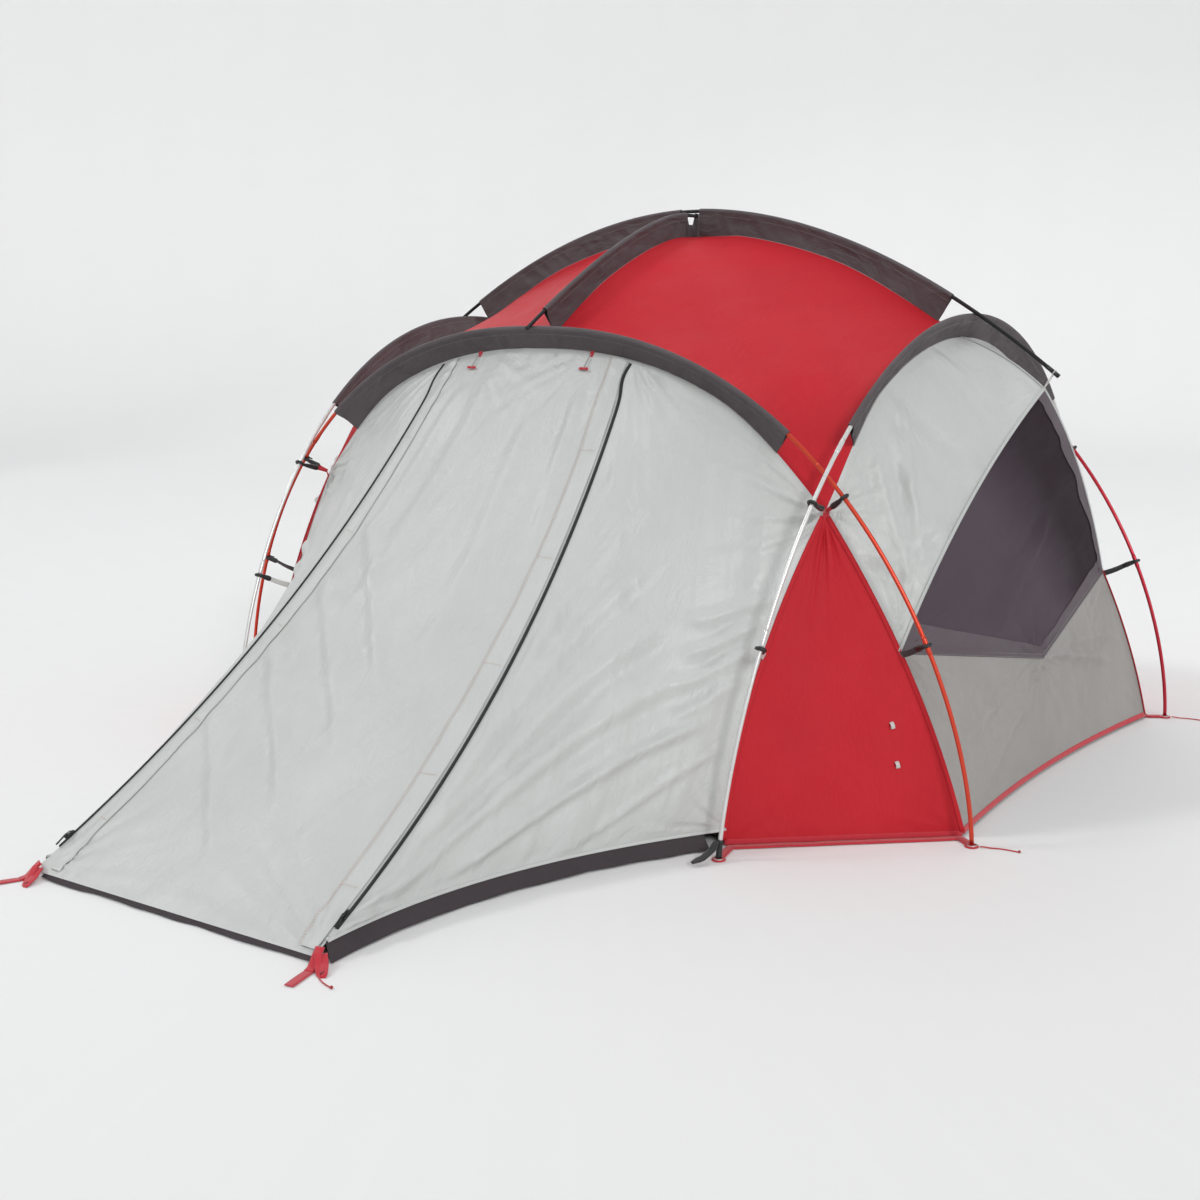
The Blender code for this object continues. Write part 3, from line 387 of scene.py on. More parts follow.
def skin(top, bottom, left, right, rows, cols):
    """A stretched membrane held by four edges, relaxed from coarse to fine."""
    levels = [(max(least, rows // part), max(least, cols // part), steps)
              for least, part, steps in ((9, 8, 700), (17, 4, 160), (33, 2, 90))]
    grid = None
    for r, c, steps in levels + [(rows, cols, 40)]:
        fresh = coons(resample(top, c), resample(bottom, c), resample(left, r),
                      resample(right, r))
        if grid is not None:
            fresh[1:-1, 1:-1] = zoomed(grid, r, c)[1:-1, 1:-1]
        for _ in range(steps):
            fresh[1:-1, 1:-1] = 0.25 * (fresh[:-2, 1:-1] + fresh[2:, 1:-1]
                                        + fresh[1:-1, :-2] + fresh[1:-1, 2:])
        grid = fresh
    return grid


def metric(grid):
    """Distances in metres across and down a grid, from its middle column and top row."""
    across = np.linalg.norm(np.diff(grid, axis=1), axis=2)
    s = np.concatenate([np.zeros((grid.shape[0], 1)), np.cumsum(across, axis=1)], axis=1)
    s = s - s[:, [grid.shape[1] // 2]]
    down = np.linalg.norm(np.diff(grid, axis=0), axis=2)
    t = np.concatenate([np.zeros((1, grid.shape[1])), np.cumsum(down, axis=0)], axis=0)
    return s, t


def normals(grid, outward=None):
    """Unit normals of a grid, facing away from the tent's middle."""
    du = np.gradient(grid, axis=1)
    dv = np.gradient(grid, axis=0)
    n = np.cross(du, dv)
    n /= np.maximum(np.linalg.norm(n, axis=2), 1e-9)[..., None]
    middle = grid.shape[0] // 2, grid.shape[1] // 2
    if outward is None:
        outward = grid[middle] - np.array([0, 0, 0.2])
    return -n if np.dot(n[middle], outward) < 0 else n


def value_noise(x, y, seed):
    """Smooth noise between -1 and 1, one value per unit square."""
    table = np.random.RandomState(seed).rand(64, 64) * 2 - 1
    i, j = np.floor(x).astype(int), np.floor(y).astype(int)
    fx, fy = smooth(x - i), smooth(y - j)
    a, b = table[i % 64, j % 64], table[(i + 1) % 64, j % 64]
    c, d = table[i % 64, (j + 1) % 64], table[(i + 1) % 64, (j + 1) % 64]
    return blended(a, b, c, d, fx, fy)


def folded(grid, seed, long, fine, fans, edge, lines=()):
    """The grid with tension wrinkles. long and fine are depth, width, length and turn of
    the folds; fans are (row, column, reach, depth, folds) about a held point; lines are
    (row, column, row, column, depth, width) of single creases; edge is how far from the
    seams they fade, as one distance or as four: top, bottom, left and right."""
    s, t = metric(grid)
    lift = np.zeros_like(s)
    for k, (depth, width, run, turn) in enumerate((long, fine)):
        a = s * math.cos(turn) + t * math.sin(turn)
        b = -s * math.sin(turn) + t * math.cos(turn)
        bent = a + 0.35 * width * value_noise(a / (3 * width), b / run, seed + 40 + k)
        wave = value_noise(bent / width, b / run, seed + k)
        ridge = 1.0 - 2.0 * np.abs(value_noise(bent / width + 9.3, b / run + 4.1,
                                               seed + 20 + k))
        lift += depth * (0.65 * wave + 0.35 * ridge)
    rows, cols = grid.shape[:2]
    for row, col, reach, depth, count in fans:
        i, j = int(round(row * (rows - 1))), int(round(col * (cols - 1)))
        ds, dt = s - s[i, j], t - t[i, j]
        r = np.hypot(ds, dt)
        angle = np.arctan2(dt, ds)
        wobble = value_noise(angle * count / 2.0 + 31, r / (1.5 * reach) + 7, seed + 60)
        lift += depth * np.exp(-r / reach) * smooth(r / 0.05) * (
            np.sin(angle * count + 2.2 * wobble))
    for r0, c0, r1, c1, depth, width in lines:
        a = np.array([r0 * (rows - 1), c0 * (cols - 1)])
        b = np.array([r1 * (rows - 1), c1 * (cols - 1)])
        ia, ib = tuple(a.round().astype(int)), tuple(b.round().astype(int))
        pa, pb = np.array([s[ia], t[ia]]), np.array([s[ib], t[ib]])
        along = (pb - pa) / np.linalg.norm(pb - pa)
        reach = np.linalg.norm(pb - pa)
        f = ((s - pa[0]) * along[0] + (t - pa[1]) * along[1]) / reach
        off = -(s - pa[0]) * along[1] + (t - pa[1]) * along[0]
        bend = 0.3 * width * value_noise(f * 3 + 5, f * 0 + 2, seed + 80)
        shape = np.exp(-((off + bend) / width) ** 2)
        shape = shape - 0.45 * np.exp(-((off + bend - 1.7 * width) / (1.3 * width)) ** 2)
        lift += depth * shape * smooth(f * 5) * smooth((1 - f) * 5)
    for gap, far in zip(np.broadcast_to(edge, (4,)), (t, t[-1] - t, s - s[:, :1], s[:, -1:] - s)):
        lift *= smooth(far / gap)
    return grid + normals(grid) * lift[..., None]


def at_uv(surface, u, v):
    """The point at a share of a surface's width and height."""
    rows, cols = surface.shape[:2]
    x, y = u * (cols - 1), v * (rows - 1)
    i, j = min(int(y), rows - 2), min(int(x), cols - 2)
    return blended(surface[i, j], surface[i, j + 1], surface[i + 1, j], surface[i + 1, j + 1],
                   x - j, y - i)


def part_of(surface, u0, u1, v0, v1, rows, cols):
    """The part of a surface between two shares of its width and height."""
    return np.array([[at_uv(surface, u, v) for u in np.linspace(u0, u1, cols)]
                     for v in np.linspace(v0, v1, rows)])


def add_mesh(name, part, mat, body="shell", node=(), slot=None):
    """An object from a part's vertices, faces and UVs. node is what it replaces, and slot
    is not used."""
    verts, faces, uvs = part
    mesh = bpy.data.meshes.new(name)
    verts = np.asarray(verts, float) + SHIFT
    mesh.from_pydata([tuple(v) for v in verts], [], faces)
    if uvs is not None:
        layer = mesh.uv_layers.new(name="UVMap")
        index = np.zeros(len(mesh.loops), int)
        mesh.loops.foreach_get("vertex_index", index)
        layer.data.foreach_set("uv", np.asarray(uvs, float)[index].ravel())
    own_slot, material = MAT[mat]
    mesh.materials.append(material)
    mesh.polygons.foreach_set("use_smooth", [True] * len(mesh.polygons))
    mesh.update()
    obj = placed(name, mesh)
    if body is not None:
        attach(obj, body)
    for n in ([node] if isinstance(node, str) else node):
        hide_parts(n)
    slot = slot or own_slot
    return obj


def grid_faces(rows, cols):
    return [(r * cols + c, r * cols + c + 1, (r + 1) * cols + c + 1, (r + 1) * cols + c)
            for r in range(rows - 1) for c in range(cols - 1)]


def grid_part(grid):
    """A grid of points as vertices, faces and UVs in metres."""
    rows, cols = grid.shape[:2]
    return (grid.reshape(-1, 3), grid_faces(rows, cols),
            np.stack(metric(grid), axis=2).reshape(-1, 2))


def grid_area(grid):
    """The area of a grid's surface."""
    a, b, c, d = grid[:-1, :-1], grid[:-1, 1:], grid[1:, 1:], grid[1:, :-1]
    one = np.linalg.norm(np.cross(b - a, c - a), axis=2)
    two = np.linalg.norm(np.cross(c - a, d - a), axis=2)
    return float(0.5 * (one + two).sum())


def cloth(name, grid, mat, node=(), *, body="shell",
          bend=None, flat_grid=None):
    """A single layer of fabric; the size it was cut to is worked out but not declared: its
    longest row and column before wrinkling, or, where it is far from a rectangle, narrower to fit
    its area."""
    obj = add_mesh(name, grid_part(grid), mat, None if bend else body, node)
    if bend:
        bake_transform(obj)
    plain = grid if flat_grid is None else flat_grid
    wide = round(max(length(row) for row in plain), 3)
    tall = round(max(length(plain[:, c]) for c in range(plain.shape[1])), 3)
    area = round(min(grid_area(plain), wide * tall), 4)
    if area < 0.3 * wide * tall:
        wide = round(area / (0.35 * tall), 3)


def panel(name, mat, node, sides, size, seed, long, fine, rests_on, **folds):
    """A panel of the fly: a membrane between four sides, with its tension wrinkles."""
    grid = skin(*sides, *size)
    wrinkled = folded(grid, seed, long, fine, **folds)
    cloth(name, wrinkled, mat, node, flat_grid=grid)
    return wrinkled


def tube_faces(count, ring, caps=True):
    """Faces round a tube of count rings, with a cap at each end."""
    faces = [(k * ring + a, k * ring + (a + 1) % ring, (k + 1) * ring + (a + 1) % ring,
              (k + 1) * ring + a) for k in range(count - 1) for a in range(ring)]
    if caps:
        faces.append(tuple(range(ring - 1, -1, -1)))
        faces.append(tuple((count - 1) * ring + a for a in range(ring)))
    return faces


def pipe_mesh(points, radii, ring=12, caps=True):
    """Vertices, faces and UVs of a round tube along a line of points."""
    points = np.asarray(points, float)
    count = len(points)
    radii = np.broadcast_to(np.asarray(radii, float), (count,))
    tangent = tangents(points)
    side = np.cross(tangent[0], (0.31, 0.17, 0.93))
    if np.linalg.norm(side) < 0.1:
        side = np.cross(tangent[0], (0.9, 0.1, 0.2))
    verts, uvs, run = [], [], run_along(points)
    for k in range(count):
        side = side - np.dot(side, tangent[k]) * tangent[k]
        side = side / np.linalg.norm(side)
        other = np.cross(tangent[k], side)
        for a in np.linspace(0, 2 * math.pi, ring, endpoint=False):
            verts.append(points[k] + radii[k] * (math.cos(a) * side + math.sin(a) * other))
            uvs.append((a * radii.max(), run[k]))
    return verts, tube_faces(count, ring, caps), uvs


def joined(parts):
    """Several parts as one."""
    verts, faces, uvs = [], [], []
    for v, f, uv in parts:
        at = len(verts)
        verts.extend(v)
        uvs.extend(uv)
        faces.extend(tuple(at + k for k in face) for face in f)
    return verts, faces, uvs


def ribbon_mesh(line, across, normal, half_w, half_t, crown=0.0):
    """A flat strap with rounded edges along a line."""
    line = np.asarray(line, float)
    shape = [(-1, -0.4), (-0.97, -1), (0.97, -1), (1, -0.4), (1, 0.4), (0.97, 1),
             (0.5, 1 + crown), (0, 1 + 1.3 * crown), (-0.5, 1 + crown), (-0.97, 1), (-1, 0.4)]
    half_w = np.broadcast_to(np.asarray(half_w, float), (len(line),))
    verts, uvs, run = [], [], run_along(line)
    for k in range(len(line)):
        for s, t in shape:
            verts.append(line[k] + s * half_w[k] * across[k] + t * half_t * normal[k])
            uvs.append((s * half_w[k], run[k]))
    return verts, tube_faces(len(line), len(shape)), uvs


def side_frames(line, outward):
    """Across and normal directions along a line, the normal near outward."""
    tangent = tangents(line)
    outward = np.broadcast_to(outward, line.shape)
    normal = units(outward - (outward * tangent).sum(axis=1)[:, None] * tangent)
    return np.cross(tangent, normal), normal


def laid_ribbon(line, outward, half_w, half_t, crown=0.0, lift=0.0):
    """A ribbon along a line, facing outward and lifted off it."""
    across, normal = side_frames(line, outward)
    return ribbon_mesh(line + normal * lift, across, normal, half_w, half_t, crown)


THREAD_LIFT = 0.0006       # how high a stitch arches off the cloth


def stitches(line, normal, pitch=0.0055, run=0.0034, half_w=0.0006):
    """A row of thread dashes lying on a surface along a line."""
    total = length(line)
    count = max(2, int(total / pitch))
    at = np.linspace(0, 1, len(line))
    spots = resample(line, count + 1)
    steps = np.linspace(0, 1, count + 1)
    ns = np.stack([np.interp(steps, at, normal[:, k]) for k in range(3)], axis=1)
    verts, faces, uvs = [], [], []
    for k in range(count):
        along = spots[k + 1] - spots[k]
        along = along / max(np.linalg.norm(along), 1e-9)
        up = ns[k] / max(np.linalg.norm(ns[k]), 1e-9)
        side = np.cross(along, up)
        a, b = spots[k], spots[k] + along * run
        mid = (a + b) / 2 + up * (THREAD_LIFT + half_w)
        start = len(verts)
        verts.extend([a, mid + side * half_w, b, mid - side * half_w, mid + up * half_w * 0.8])
        uvs.extend([(0, 0), (0.001, 0.001), (0, 0.002), (0.002, 0.001), (0.001, 0.001)])
        faces.extend([(start, start + 1, start + 4), (start + 1, start + 2, start + 4),
                      (start + 2, start + 3, start + 4), (start + 3, start, start + 4)])
    return verts, faces, uvs


# ---- pole lines ------------------------------------------------------------------
PEAK_Z, POLE_R, FOOT_Z = 1.446, 0.005, 0.006
COARSE, FINE = 46, 4
FRONT_HOOP = dict(half=1.203, rise=1.131, out=0.667, lean=0.0384, pe=0.869, qe=1.178,
                  top_lean=0.70, leg_lean=0.45)
BACK_HOOP = dict(FRONT_HOOP, top_lean=1.00)
SIDE_HOOP = dict(half=1.065, rise=1.152, out=0.795, lean=0.0596, pe=0.965, qe=1.250,
                 top_lean=0.55, leg_lean=0.50)
HOOPS = {"front": FRONT_HOOP, "back": BACK_HOOP, "right": SIDE_HOOP, "left": SIDE_HOOP}
TURN = {
    "front": lambda u, w, z: np.stack([u, -w, z], axis=-1),
    "back": lambda u, w, z: np.stack([u, w, z], axis=-1),
    "right": lambda u, w, z: np.stack([w, u, z], axis=-1),
    "left": lambda u, w, z: np.stack([-w, u, z], axis=-1),
}
RIDGE_OVER_HOOP, RIDGE_CROSS = 0.0150, 0.0112
RIDGE_POWER_X, RIDGE_POWER_Y = 1.911, 1.413
RIDGE_TIP_X, RIDGE_TIP_Y = 1.097, 0.735
RIDGE_FLAT = 0.06          # how far the lower ridge pole stays level at the crossing
SLEEVE_END, SEAM_DEPTH = 0.155, 0.060
CORNER = (0.8175, -0.663, 0.718)
HEM_Z = 0.0130
HEM_FRONT, HEM_SIDE = (0.757, -0.983), (1.159, -0.620)
BOW_FRONT, BOW_SIDE = (-0.0124, -0.0558), (0.0416, -0.0041)
FLANKS = (("right", 1), ("left", -1))
ALL_CORNERS = (("front_right", 1, -1), ("front_left", -1, -1), ("back_right", 1, 1),
               ("back_left", -1, 1))


def hoop_lines(side, count):
    """Pole centres, outward normals and the downhill direction across the sleeve."""
    h = HOOPS[side]
    t = np.linspace(0.0, math.pi, 3600)
    u = h["half"] * np.sign(np.cos(t)) * np.abs(np.cos(t)) ** h["pe"]
    v = h["rise"] * np.abs(np.sin(t)) ** h["qe"]
    w = h["out"] + v * math.sin(h["lean"])
    z = np.maximum(v * math.cos(h["lean"]), 0.0)
    local = np.stack([u, w, z], axis=1)
    local = resample(local[z >= FOOT_Z], count)
    tangent = tangents(local)
    radial = np.stack([-tangent[:, 2], np.zeros(count), tangent[:, 0]], axis=1)
    radial *= np.where(radial[:, 2:3] < 0, -1.0, 1.0)
    radial[radial[:, 0] * local[:, 0] < 0, 0] *= -1.0
    high = np.clip(local[:, 2] / h["rise"], 0, 1) ** 1.5
    lean = h["leg_lean"] + (h["top_lean"] - h["leg_lean"]) * high
    normal = radial + np.stack([np.zeros(count), lean, np.zeros(count)], axis=1)
    normal = units(normal - (normal * tangent).sum(axis=1)[:, None] * tangent)
    across = np.cross(tangent, normal)
    across *= np.sign(across[:, 1:2])
    turn = TURN[side]
    return tuple(turn(a[:, 0], a[:, 1], a[:, 2]) for a in (local, normal, across))


ROUGH_LINES = {side: hoop_lines(side, COARSE + 1) for side in HOOPS}
PIECES = COARSE * FINE
LINES = {side: hoop_lines(side, PIECES + 1) for side in HOOPS}


def apex(side):
    """The middle of a hoop."""
    return LINES[side][0][PIECES // 2]


def ridge_x(x):
    """The ridge pole from side to side."""
    over = apex("right")
    drop = (PEAK_Z - (over[2] + RIDGE_OVER_HOOP)) / abs(over[0]) ** RIDGE_POWER_X
    return np.stack([x, 0 * x, PEAK_Z - drop * np.abs(x) ** RIDGE_POWER_X], axis=1)


def ridge_y(y):
    """The ridge pole from front to back, under the other one."""
    over = apex("front")
    top = PEAK_Z - RIDGE_CROSS
    reach = np.sqrt(y * y + RIDGE_FLAT ** 2) - RIDGE_FLAT
    full = math.sqrt(over[1] ** 2 + RIDGE_FLAT ** 2) - RIDGE_FLAT
    drop = (top - (over[2] + RIDGE_OVER_HOOP)) / full ** RIDGE_POWER_Y
    return np.stack([0 * y, y, top - drop * reach ** RIDGE_POWER_Y], axis=1)


RIDGE_X = ridge_x(np.linspace(-RIDGE_TIP_X, RIDGE_TIP_X, 137))
RIDGE_Y = ridge_y(np.linspace(-RIDGE_TIP_Y, RIDGE_TIP_Y, 121))


def crossing_index(side):
    """The pole point nearest the crossing with the neighbouring hoops, in both counts."""
    mine = ROUGH_LINES[side][0]
    other = ROUGH_LINES["right" if side in ("front", "back") else "front"][0]
    gaps = np.linalg.norm(mine[:, None] - other[None], axis=2)
    at = int(np.argmin(gaps.min(axis=1)))
    return min(at, COARSE - at)


def sleeve_range(side):
    """The first and last pole point that a hoop's sleeve covers."""
    step = length(ROUGH_LINES[side][0]) / COARSE
    first = crossing_index(side) + int(round(SLEEVE_END / step))
    return first * FINE, PIECES - first * FINE


def corner_of(side):
    """The two corners where a hoop's seam ends."""
    sign = {"front": [(1, 1), (-1, 1)], "back": [(1, -1), (-1, -1)],
            "right": [(1, 1), (1, -1)], "left": [(-1, 1), (-1, -1)]}[side]
    return [mirrored(CORNER, *s) for s in sign]


def seam_arch(side):
    """The fabric seam that runs along a hoop from corner to corner."""
    centre, normal, _ = LINES[side]
    at = crossing_index(side) * FINE
    lo, _ = sleeve_range(side)
    base = (centre - SEAM_DEPTH * normal)[at:PIECES - at + 1]
    corners = corner_of(side)
    total = len(base)
    blend = max(lo - at, FINE) + 3 * FINE
    out = base.copy()
    for start, order in ((0, 1), (total - 1, -1)):
        near = min(corners, key=lambda c: np.linalg.norm(c - base[start]))
        away = np.arange(total) if order == 1 else total - 1 - np.arange(total)
        out += (near - base[start]) * (1 - smooth(away / blend))[:, None]
    return resample(out, 600)


ARCH = {side: seam_arch(side) for side in HOOPS}


def half_arch(side, corner):
    """A hoop's seam from its top down to one corner."""
    line = ordered(ARCH[side], corner)
    return line[:len(line) // 2 + 1][::-1]


def corner_seam(which, sx, sy):
    """A corner panel's edge, from the corner down to the hem."""
    end, bow = (HEM_FRONT, BOW_FRONT) if which == "front" else (HEM_SIDE, BOW_SIDE)
    return mirrored(bowed(CORNER, (*end, HEM_Z), (*bow, 0.0), 300), sx, -sy)


# ---- free cords ------------------------------------------------------------------
CORD_R, STRAP_PAD_R = 0.0015, 0.016
KNOT_TURNS, KNOT_STRAND_R = 2.6, 0.0013
STAKES = {"right": (0.497, -1.941), "left": (-0.318, -1.991)}


def foot_of(side, sx, sy):
    """Where one leg of a hoop stands."""
    centre = LINES[side][0]
    ok = [p for p in (centre[0], centre[-1]) if p[0] * sx > 0 and p[1] * sy > 0]
    return ok[0][:2]


def knot_mesh(at, size):
    """An overhand lump of cord."""
    a = np.linspace(0, 2 * math.pi * KNOT_TURNS, 60)
    tilt = a / (2 * KNOT_TURNS)
    ball = np.stack([np.cos(a) * np.sin(tilt), np.sin(a) * np.sin(tilt), np.cos(tilt) * 0.8],
                    axis=1)
    return pipe_mesh(np.asarray(at) + ball * size, KNOT_STRAND_R, 8)


def tail(name, start, heading, run, bend):
    """A short cord end lying on the ground, with a knot at its end."""
    start = np.array(start)
    heading = unit(heading)
    side = np.array([-heading[1], heading[0]])
    f = np.linspace(0, 1, 30)[:, None]
    flat = start + heading * run * f + side * bend * np.sin(math.pi * f)
    height = CORD_R + 0.0003 + 0.0028 * (1 - smooth(f * 3))
    points = np.concatenate([flat, height], axis=1)
    curve = bpy.data.curves.new(name, "CURVE")
    curve.dimensions = "3D"
    curve.bevel_depth = CORD_R
    curve.bevel_resolution = 3
    curve.use_fill_caps = True
    spline = curve.splines.new("POLY")
    spline.points.add(len(points) - 1)
    for spot, p in zip(spline.points, points + SHIFT):
        spot.co = (*p, 1.0)
    curve.materials.append(MAT["red_cord"][1])
    obj = placed(f"{name}_braid", curve)
    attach(obj, "shell")
    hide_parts(name)
    lump = knot_mesh(points[-1] + (0, 0, 0.0016), 0.0022)
    knot = add_mesh(f"{name}_knot", (*lump[:2], None), "red_cord")


for end, sy, turn in (("front", -1, 0.30), ("back", 1, 0.25)):
    tail(f"tail_cord_{end}", foot_of(end, 1, sy) + (STRAP_PAD_R + 0.003, 0.0), (1.0, turn),
         0.085, 0.008)
tail("tail_cord_vestibule", np.array(STAKES["right"]) + (0.026, -0.036), (0.95, -0.40), 0.075,
     -0.006)


# ---- poles -----------------------------------------------------------------------
SECTION, FERRULE_HALF = 0.46, 0.022    # from ferrule to ferrule, and half of one ferrule


def pole(name, points, mat, node):
    """A pole of sections, with a ferrule sleeve at each joint."""
    total = length(points)
    collars = []
    count = int(round(total / SECTION))
    for k in range(1, count):
        at = total * k / count
        spot = resample(points, 7, at - FERRULE_HALF, total - at - FERRULE_HALF)
        collars.append(pipe_mesh(spot, [0.0050, 0.0057, 0.0058, 0.0058, 0.0058, 0.0057,
                                        0.0050], 16))
    add_mesh(name, pipe_mesh(points, POLE_R, 16), mat, node=node)
    add_mesh(f"{name}_ferrules", joined(collars), mat)


for side, mat in (("front", "pole_red"), ("back", "pole_crimson"), ("right", "pole_silver"),
                  ("left", "pole_silver")):
    pole(f"pole_{side}", LINES[side][0], mat, f"hoop_pole_{side}")
pole("pole_ridge_side", RIDGE_X, "pole_black", "ridge_pole_side")
pole("pole_ridge_long", RIDGE_Y, "pole_black", "ridge_pole_long")
for flank, sx in FLANKS[::-1]:
    tip = ordered(RIDGE_X[RIDGE_X[:, 0] * sx > 0], (sx * 2, 0, 1))[:3]
    add_mesh(f"ridge_cap_{flank}", pipe_mesh(tip, 0.0056), "clip")


# ---- sleeves ---------------------------------------------------------------------
TUBE_R, GATHER = 0.0072, 0.0040        # the sleeve's radius round the pole, its gathers' depth
SLEEVE_UNDER = 0.0015      # how far its sewn edge reaches below the seam
STITCH_IN, STITCH_OUT = 0.0135, 0.0046     # the stitch line's place below and beside the pole


def fin(name, centre, seam, across, node, seed):
    """A sleeve that stands on the seam as a flat fin: one folded layer round the pole,
    its sewn edge on the seam all the way."""
    at = np.arange(len(centre))
    closer = np.linspace(0, len(centre) - 1, 3 * (len(centre) - 1) + 1)
    centre, across = (np.stack([np.interp(closer, at, a[:, k]) for k in range(3)], axis=1)
                      for a in (centre, across))
    gaps = np.linalg.norm(centre[:, None] - seam[None], axis=2)
    reach = centre - seam[np.argmin(gaps, axis=1)]
    deep = np.linalg.norm(reach, axis=1)
    normal = reach / deep[:, None]
    kernel = np.array([0.1, 0.2, 0.4, 0.2, 0.1])
    for k in range(3):
        padded = np.pad(normal[:, k], 2, mode="edge")
        normal[:, k] = np.convolve(padded, kernel, mode="valid")
    normal = units(normal)
    deep = deep + SLEEVE_UNDER
    arc = np.radians(np.linspace(118, 0, 9))
    half = [(-1.0, 0.0009), (-0.86, 0.0011), (-0.70, 0.0014), (-0.52, 0.0018),
            (-0.34, 0.0030), (-0.19, 0.0050)]
    half += [(TUBE_R * math.cos(a) / SEAM_DEPTH, TUBE_R * math.sin(a)) for a in arc]
    shape = np.array(half + [(n, -a) for n, a in reversed(half[:-1])])
    count = len(centre)
    s = np.arange(count) * length(centre) / (count - 1)
    grid = np.zeros((count, len(shape), 3))
    for k, (n, a) in enumerate(shape):
        flat = smooth((0.06 - n) / 0.5) * smooth((n + 1.0) / 0.25)
        push = GATHER * flat * value_noise(s / 0.021 + 1.4 * n, 0 * s + 2.0 * n, seed)
        push = push + 0.0030 * flat * value_noise(s / 0.09 - 0.8 * n, 0 * s + 0.5, seed + 1)
        out = n * (deep if n < -0.15 else SEAM_DEPTH)
        grid[:, k] = centre + normal * np.reshape(out, (-1, 1)) + across * (a + push)[:, None]
    cloth(name, grid, "dark", node)
    edge = centre - normal * deep[:, None]
    for label, sign in (("a", 1), ("b", -1)):
        add_mesh(f"{name}_piping_{label}", pipe_mesh(edge + across * sign * 0.0016, 0.0011, 8),
                 "piping")
    rows = [stitches(centre - normal * STITCH_IN + across * sign * STITCH_OUT, across * sign)
            for sign in (1, -1)]
    add_mesh(f"{name}_stitching", joined(rows), "grey_thread")


for k, side in enumerate(HOOPS):
    lo, hi = sleeve_range(side)
    centre, _, across = (a[lo:hi + 1] for a in LINES[side])
    fin(f"fin_{side}", centre, ARCH[side], across, f"sleeve_{side}", 100 + k)

RIDGE_GAP_TOP, RIDGE_GAP_END = 0.017, 0.045


def ridge_seam(line, axis, sign, end):
    """The roof seam under a ridge pole, brought down to the hoop seam at its end."""
    keep = ordered(line[line[:, axis] * sign >= -1e-9], (0, 0, PEAK_Z))
    keep = keep[np.abs(keep[:, axis]) <= abs(end[axis])]
    under = keep - np.array([0, 0, SEAM_DEPTH])
    level = PEAK_Z - RIDGE_CROSS - SEAM_DEPTH
    under[0] = (0, 0, level)
    share = smooth((np.abs(keep[:, axis]) / abs(end[axis]) - 0.55) / 0.45)
    under = under + share[:, None] * (np.asarray(end) - under[-1])
    under[:, 2] = np.minimum(under[:, 2], level)
    return np.concatenate([under, [end]])


for seed, (hoop, line, axis, sign) in enumerate((("right", RIDGE_X, 0, 1),
                                                 ("left", RIDGE_X, 0, -1),
                                                 ("back", RIDGE_Y, 1, 1),
                                                 ("front", RIDGE_Y, 1, -1)), 111):
    keep = line[line[:, axis] * sign > RIDGE_GAP_TOP]
    keep = keep[np.abs(keep[:, axis]) < abs(apex(hoop)[axis]) - RIDGE_GAP_END]
    side = np.zeros_like(keep)
    side[:, 1 - axis] = 1.0
    end = half_arch(hoop, corner_of(hoop)[0])[0]
    seam = resample(ridge_seam(line, axis, sign, end), 400)
    fin(f"fin_ridge_{hoop}", keep, seam, side, f"ridge_sleeve_{hoop}", seed)

# the sleeves' four ends meet under the crossing, below a small opening
GUSSET_TOP = 0.034
base = PEAK_Z - RIDGE_CROSS - SEAM_DEPTH
parts = []
for axis in (0, 1):
    ahead, beside = np.eye(3)[axis], np.eye(3)[1 - axis]
    for sign in (-1, 1):
        rows = []
        for f in np.linspace(0, 1, 9):
            reach = (RIDGE_GAP_TOP + 0.004) * f * sign
            high = GUSSET_TOP + 0.020 * smooth((f - 0.45) / 0.5)
            rows.append([ahead * reach + beside * a + np.array([0, 0, base + z])
                         for a, z in ((0.0014, -0.002), (0.0016, high * 0.5), (0.0012, high),
                                      (-0.0012, high), (-0.0016, high * 0.5),
                                      (-0.0014, -0.002))])
        parts.append(grid_part(np.array(rows)))
add_mesh("crown_gusset", joined(parts), "dark")


# ---- roof ------------------------------------------------------------------------
for label, sx, sy in ALL_CORNERS:
    near, flank = label.split("_")
    corner = mirrored(CORNER, sx, -sy)
    long_arch, side_arch = half_arch(near, corner), half_arch(flank, corner)
    panel(f"fly_roof_{label}", "red", f"roof_{label}",
          (ridge_seam(RIDGE_X, 0, sx, side_arch[0]), long_arch,
           ridge_seam(RIDGE_Y, 1, sy, long_arch[0]), side_arch), (97, 97),
          200 + 7 * (sx + 2) + 3 * (sy + 2), (0.0022, 0.13, 0.60, 0.78),
          (0.0007, 0.035, 0.16, 0.78), ["hoop_pole_front", "ridge_pole_side"],
          fans=((1.0, 1.0, 0.14, 0.006, 26), (0.0, 1.0, 0.08, 0.0025, 16),
                (1.0, 0.0, 0.08, 0.0025, 16)), edge=0.035)


# ---- corner panels, side faces and back ------------------------------------------
SIDE_HEM_BOW = 0.040
WINDOW_V, WINDOW_AT = 0.42, 0.43
EDGE_STRIP = 0.05          # the lighter edge along the window, a share of its height
BROW_TIP, BROW_BOW, SILL = (1.060, 0.972), (0.030, 0.036), (1.088, 0.292)


def hem_tape(name, line, outward, mat="strap", half=0.0065):
    """A bound hem: a narrow tape folded over the fabric's lower edge."""
    add_mesh(name, laid_ribbon(line, outward, half, 0.0012, 0.3, 0.0012), mat)


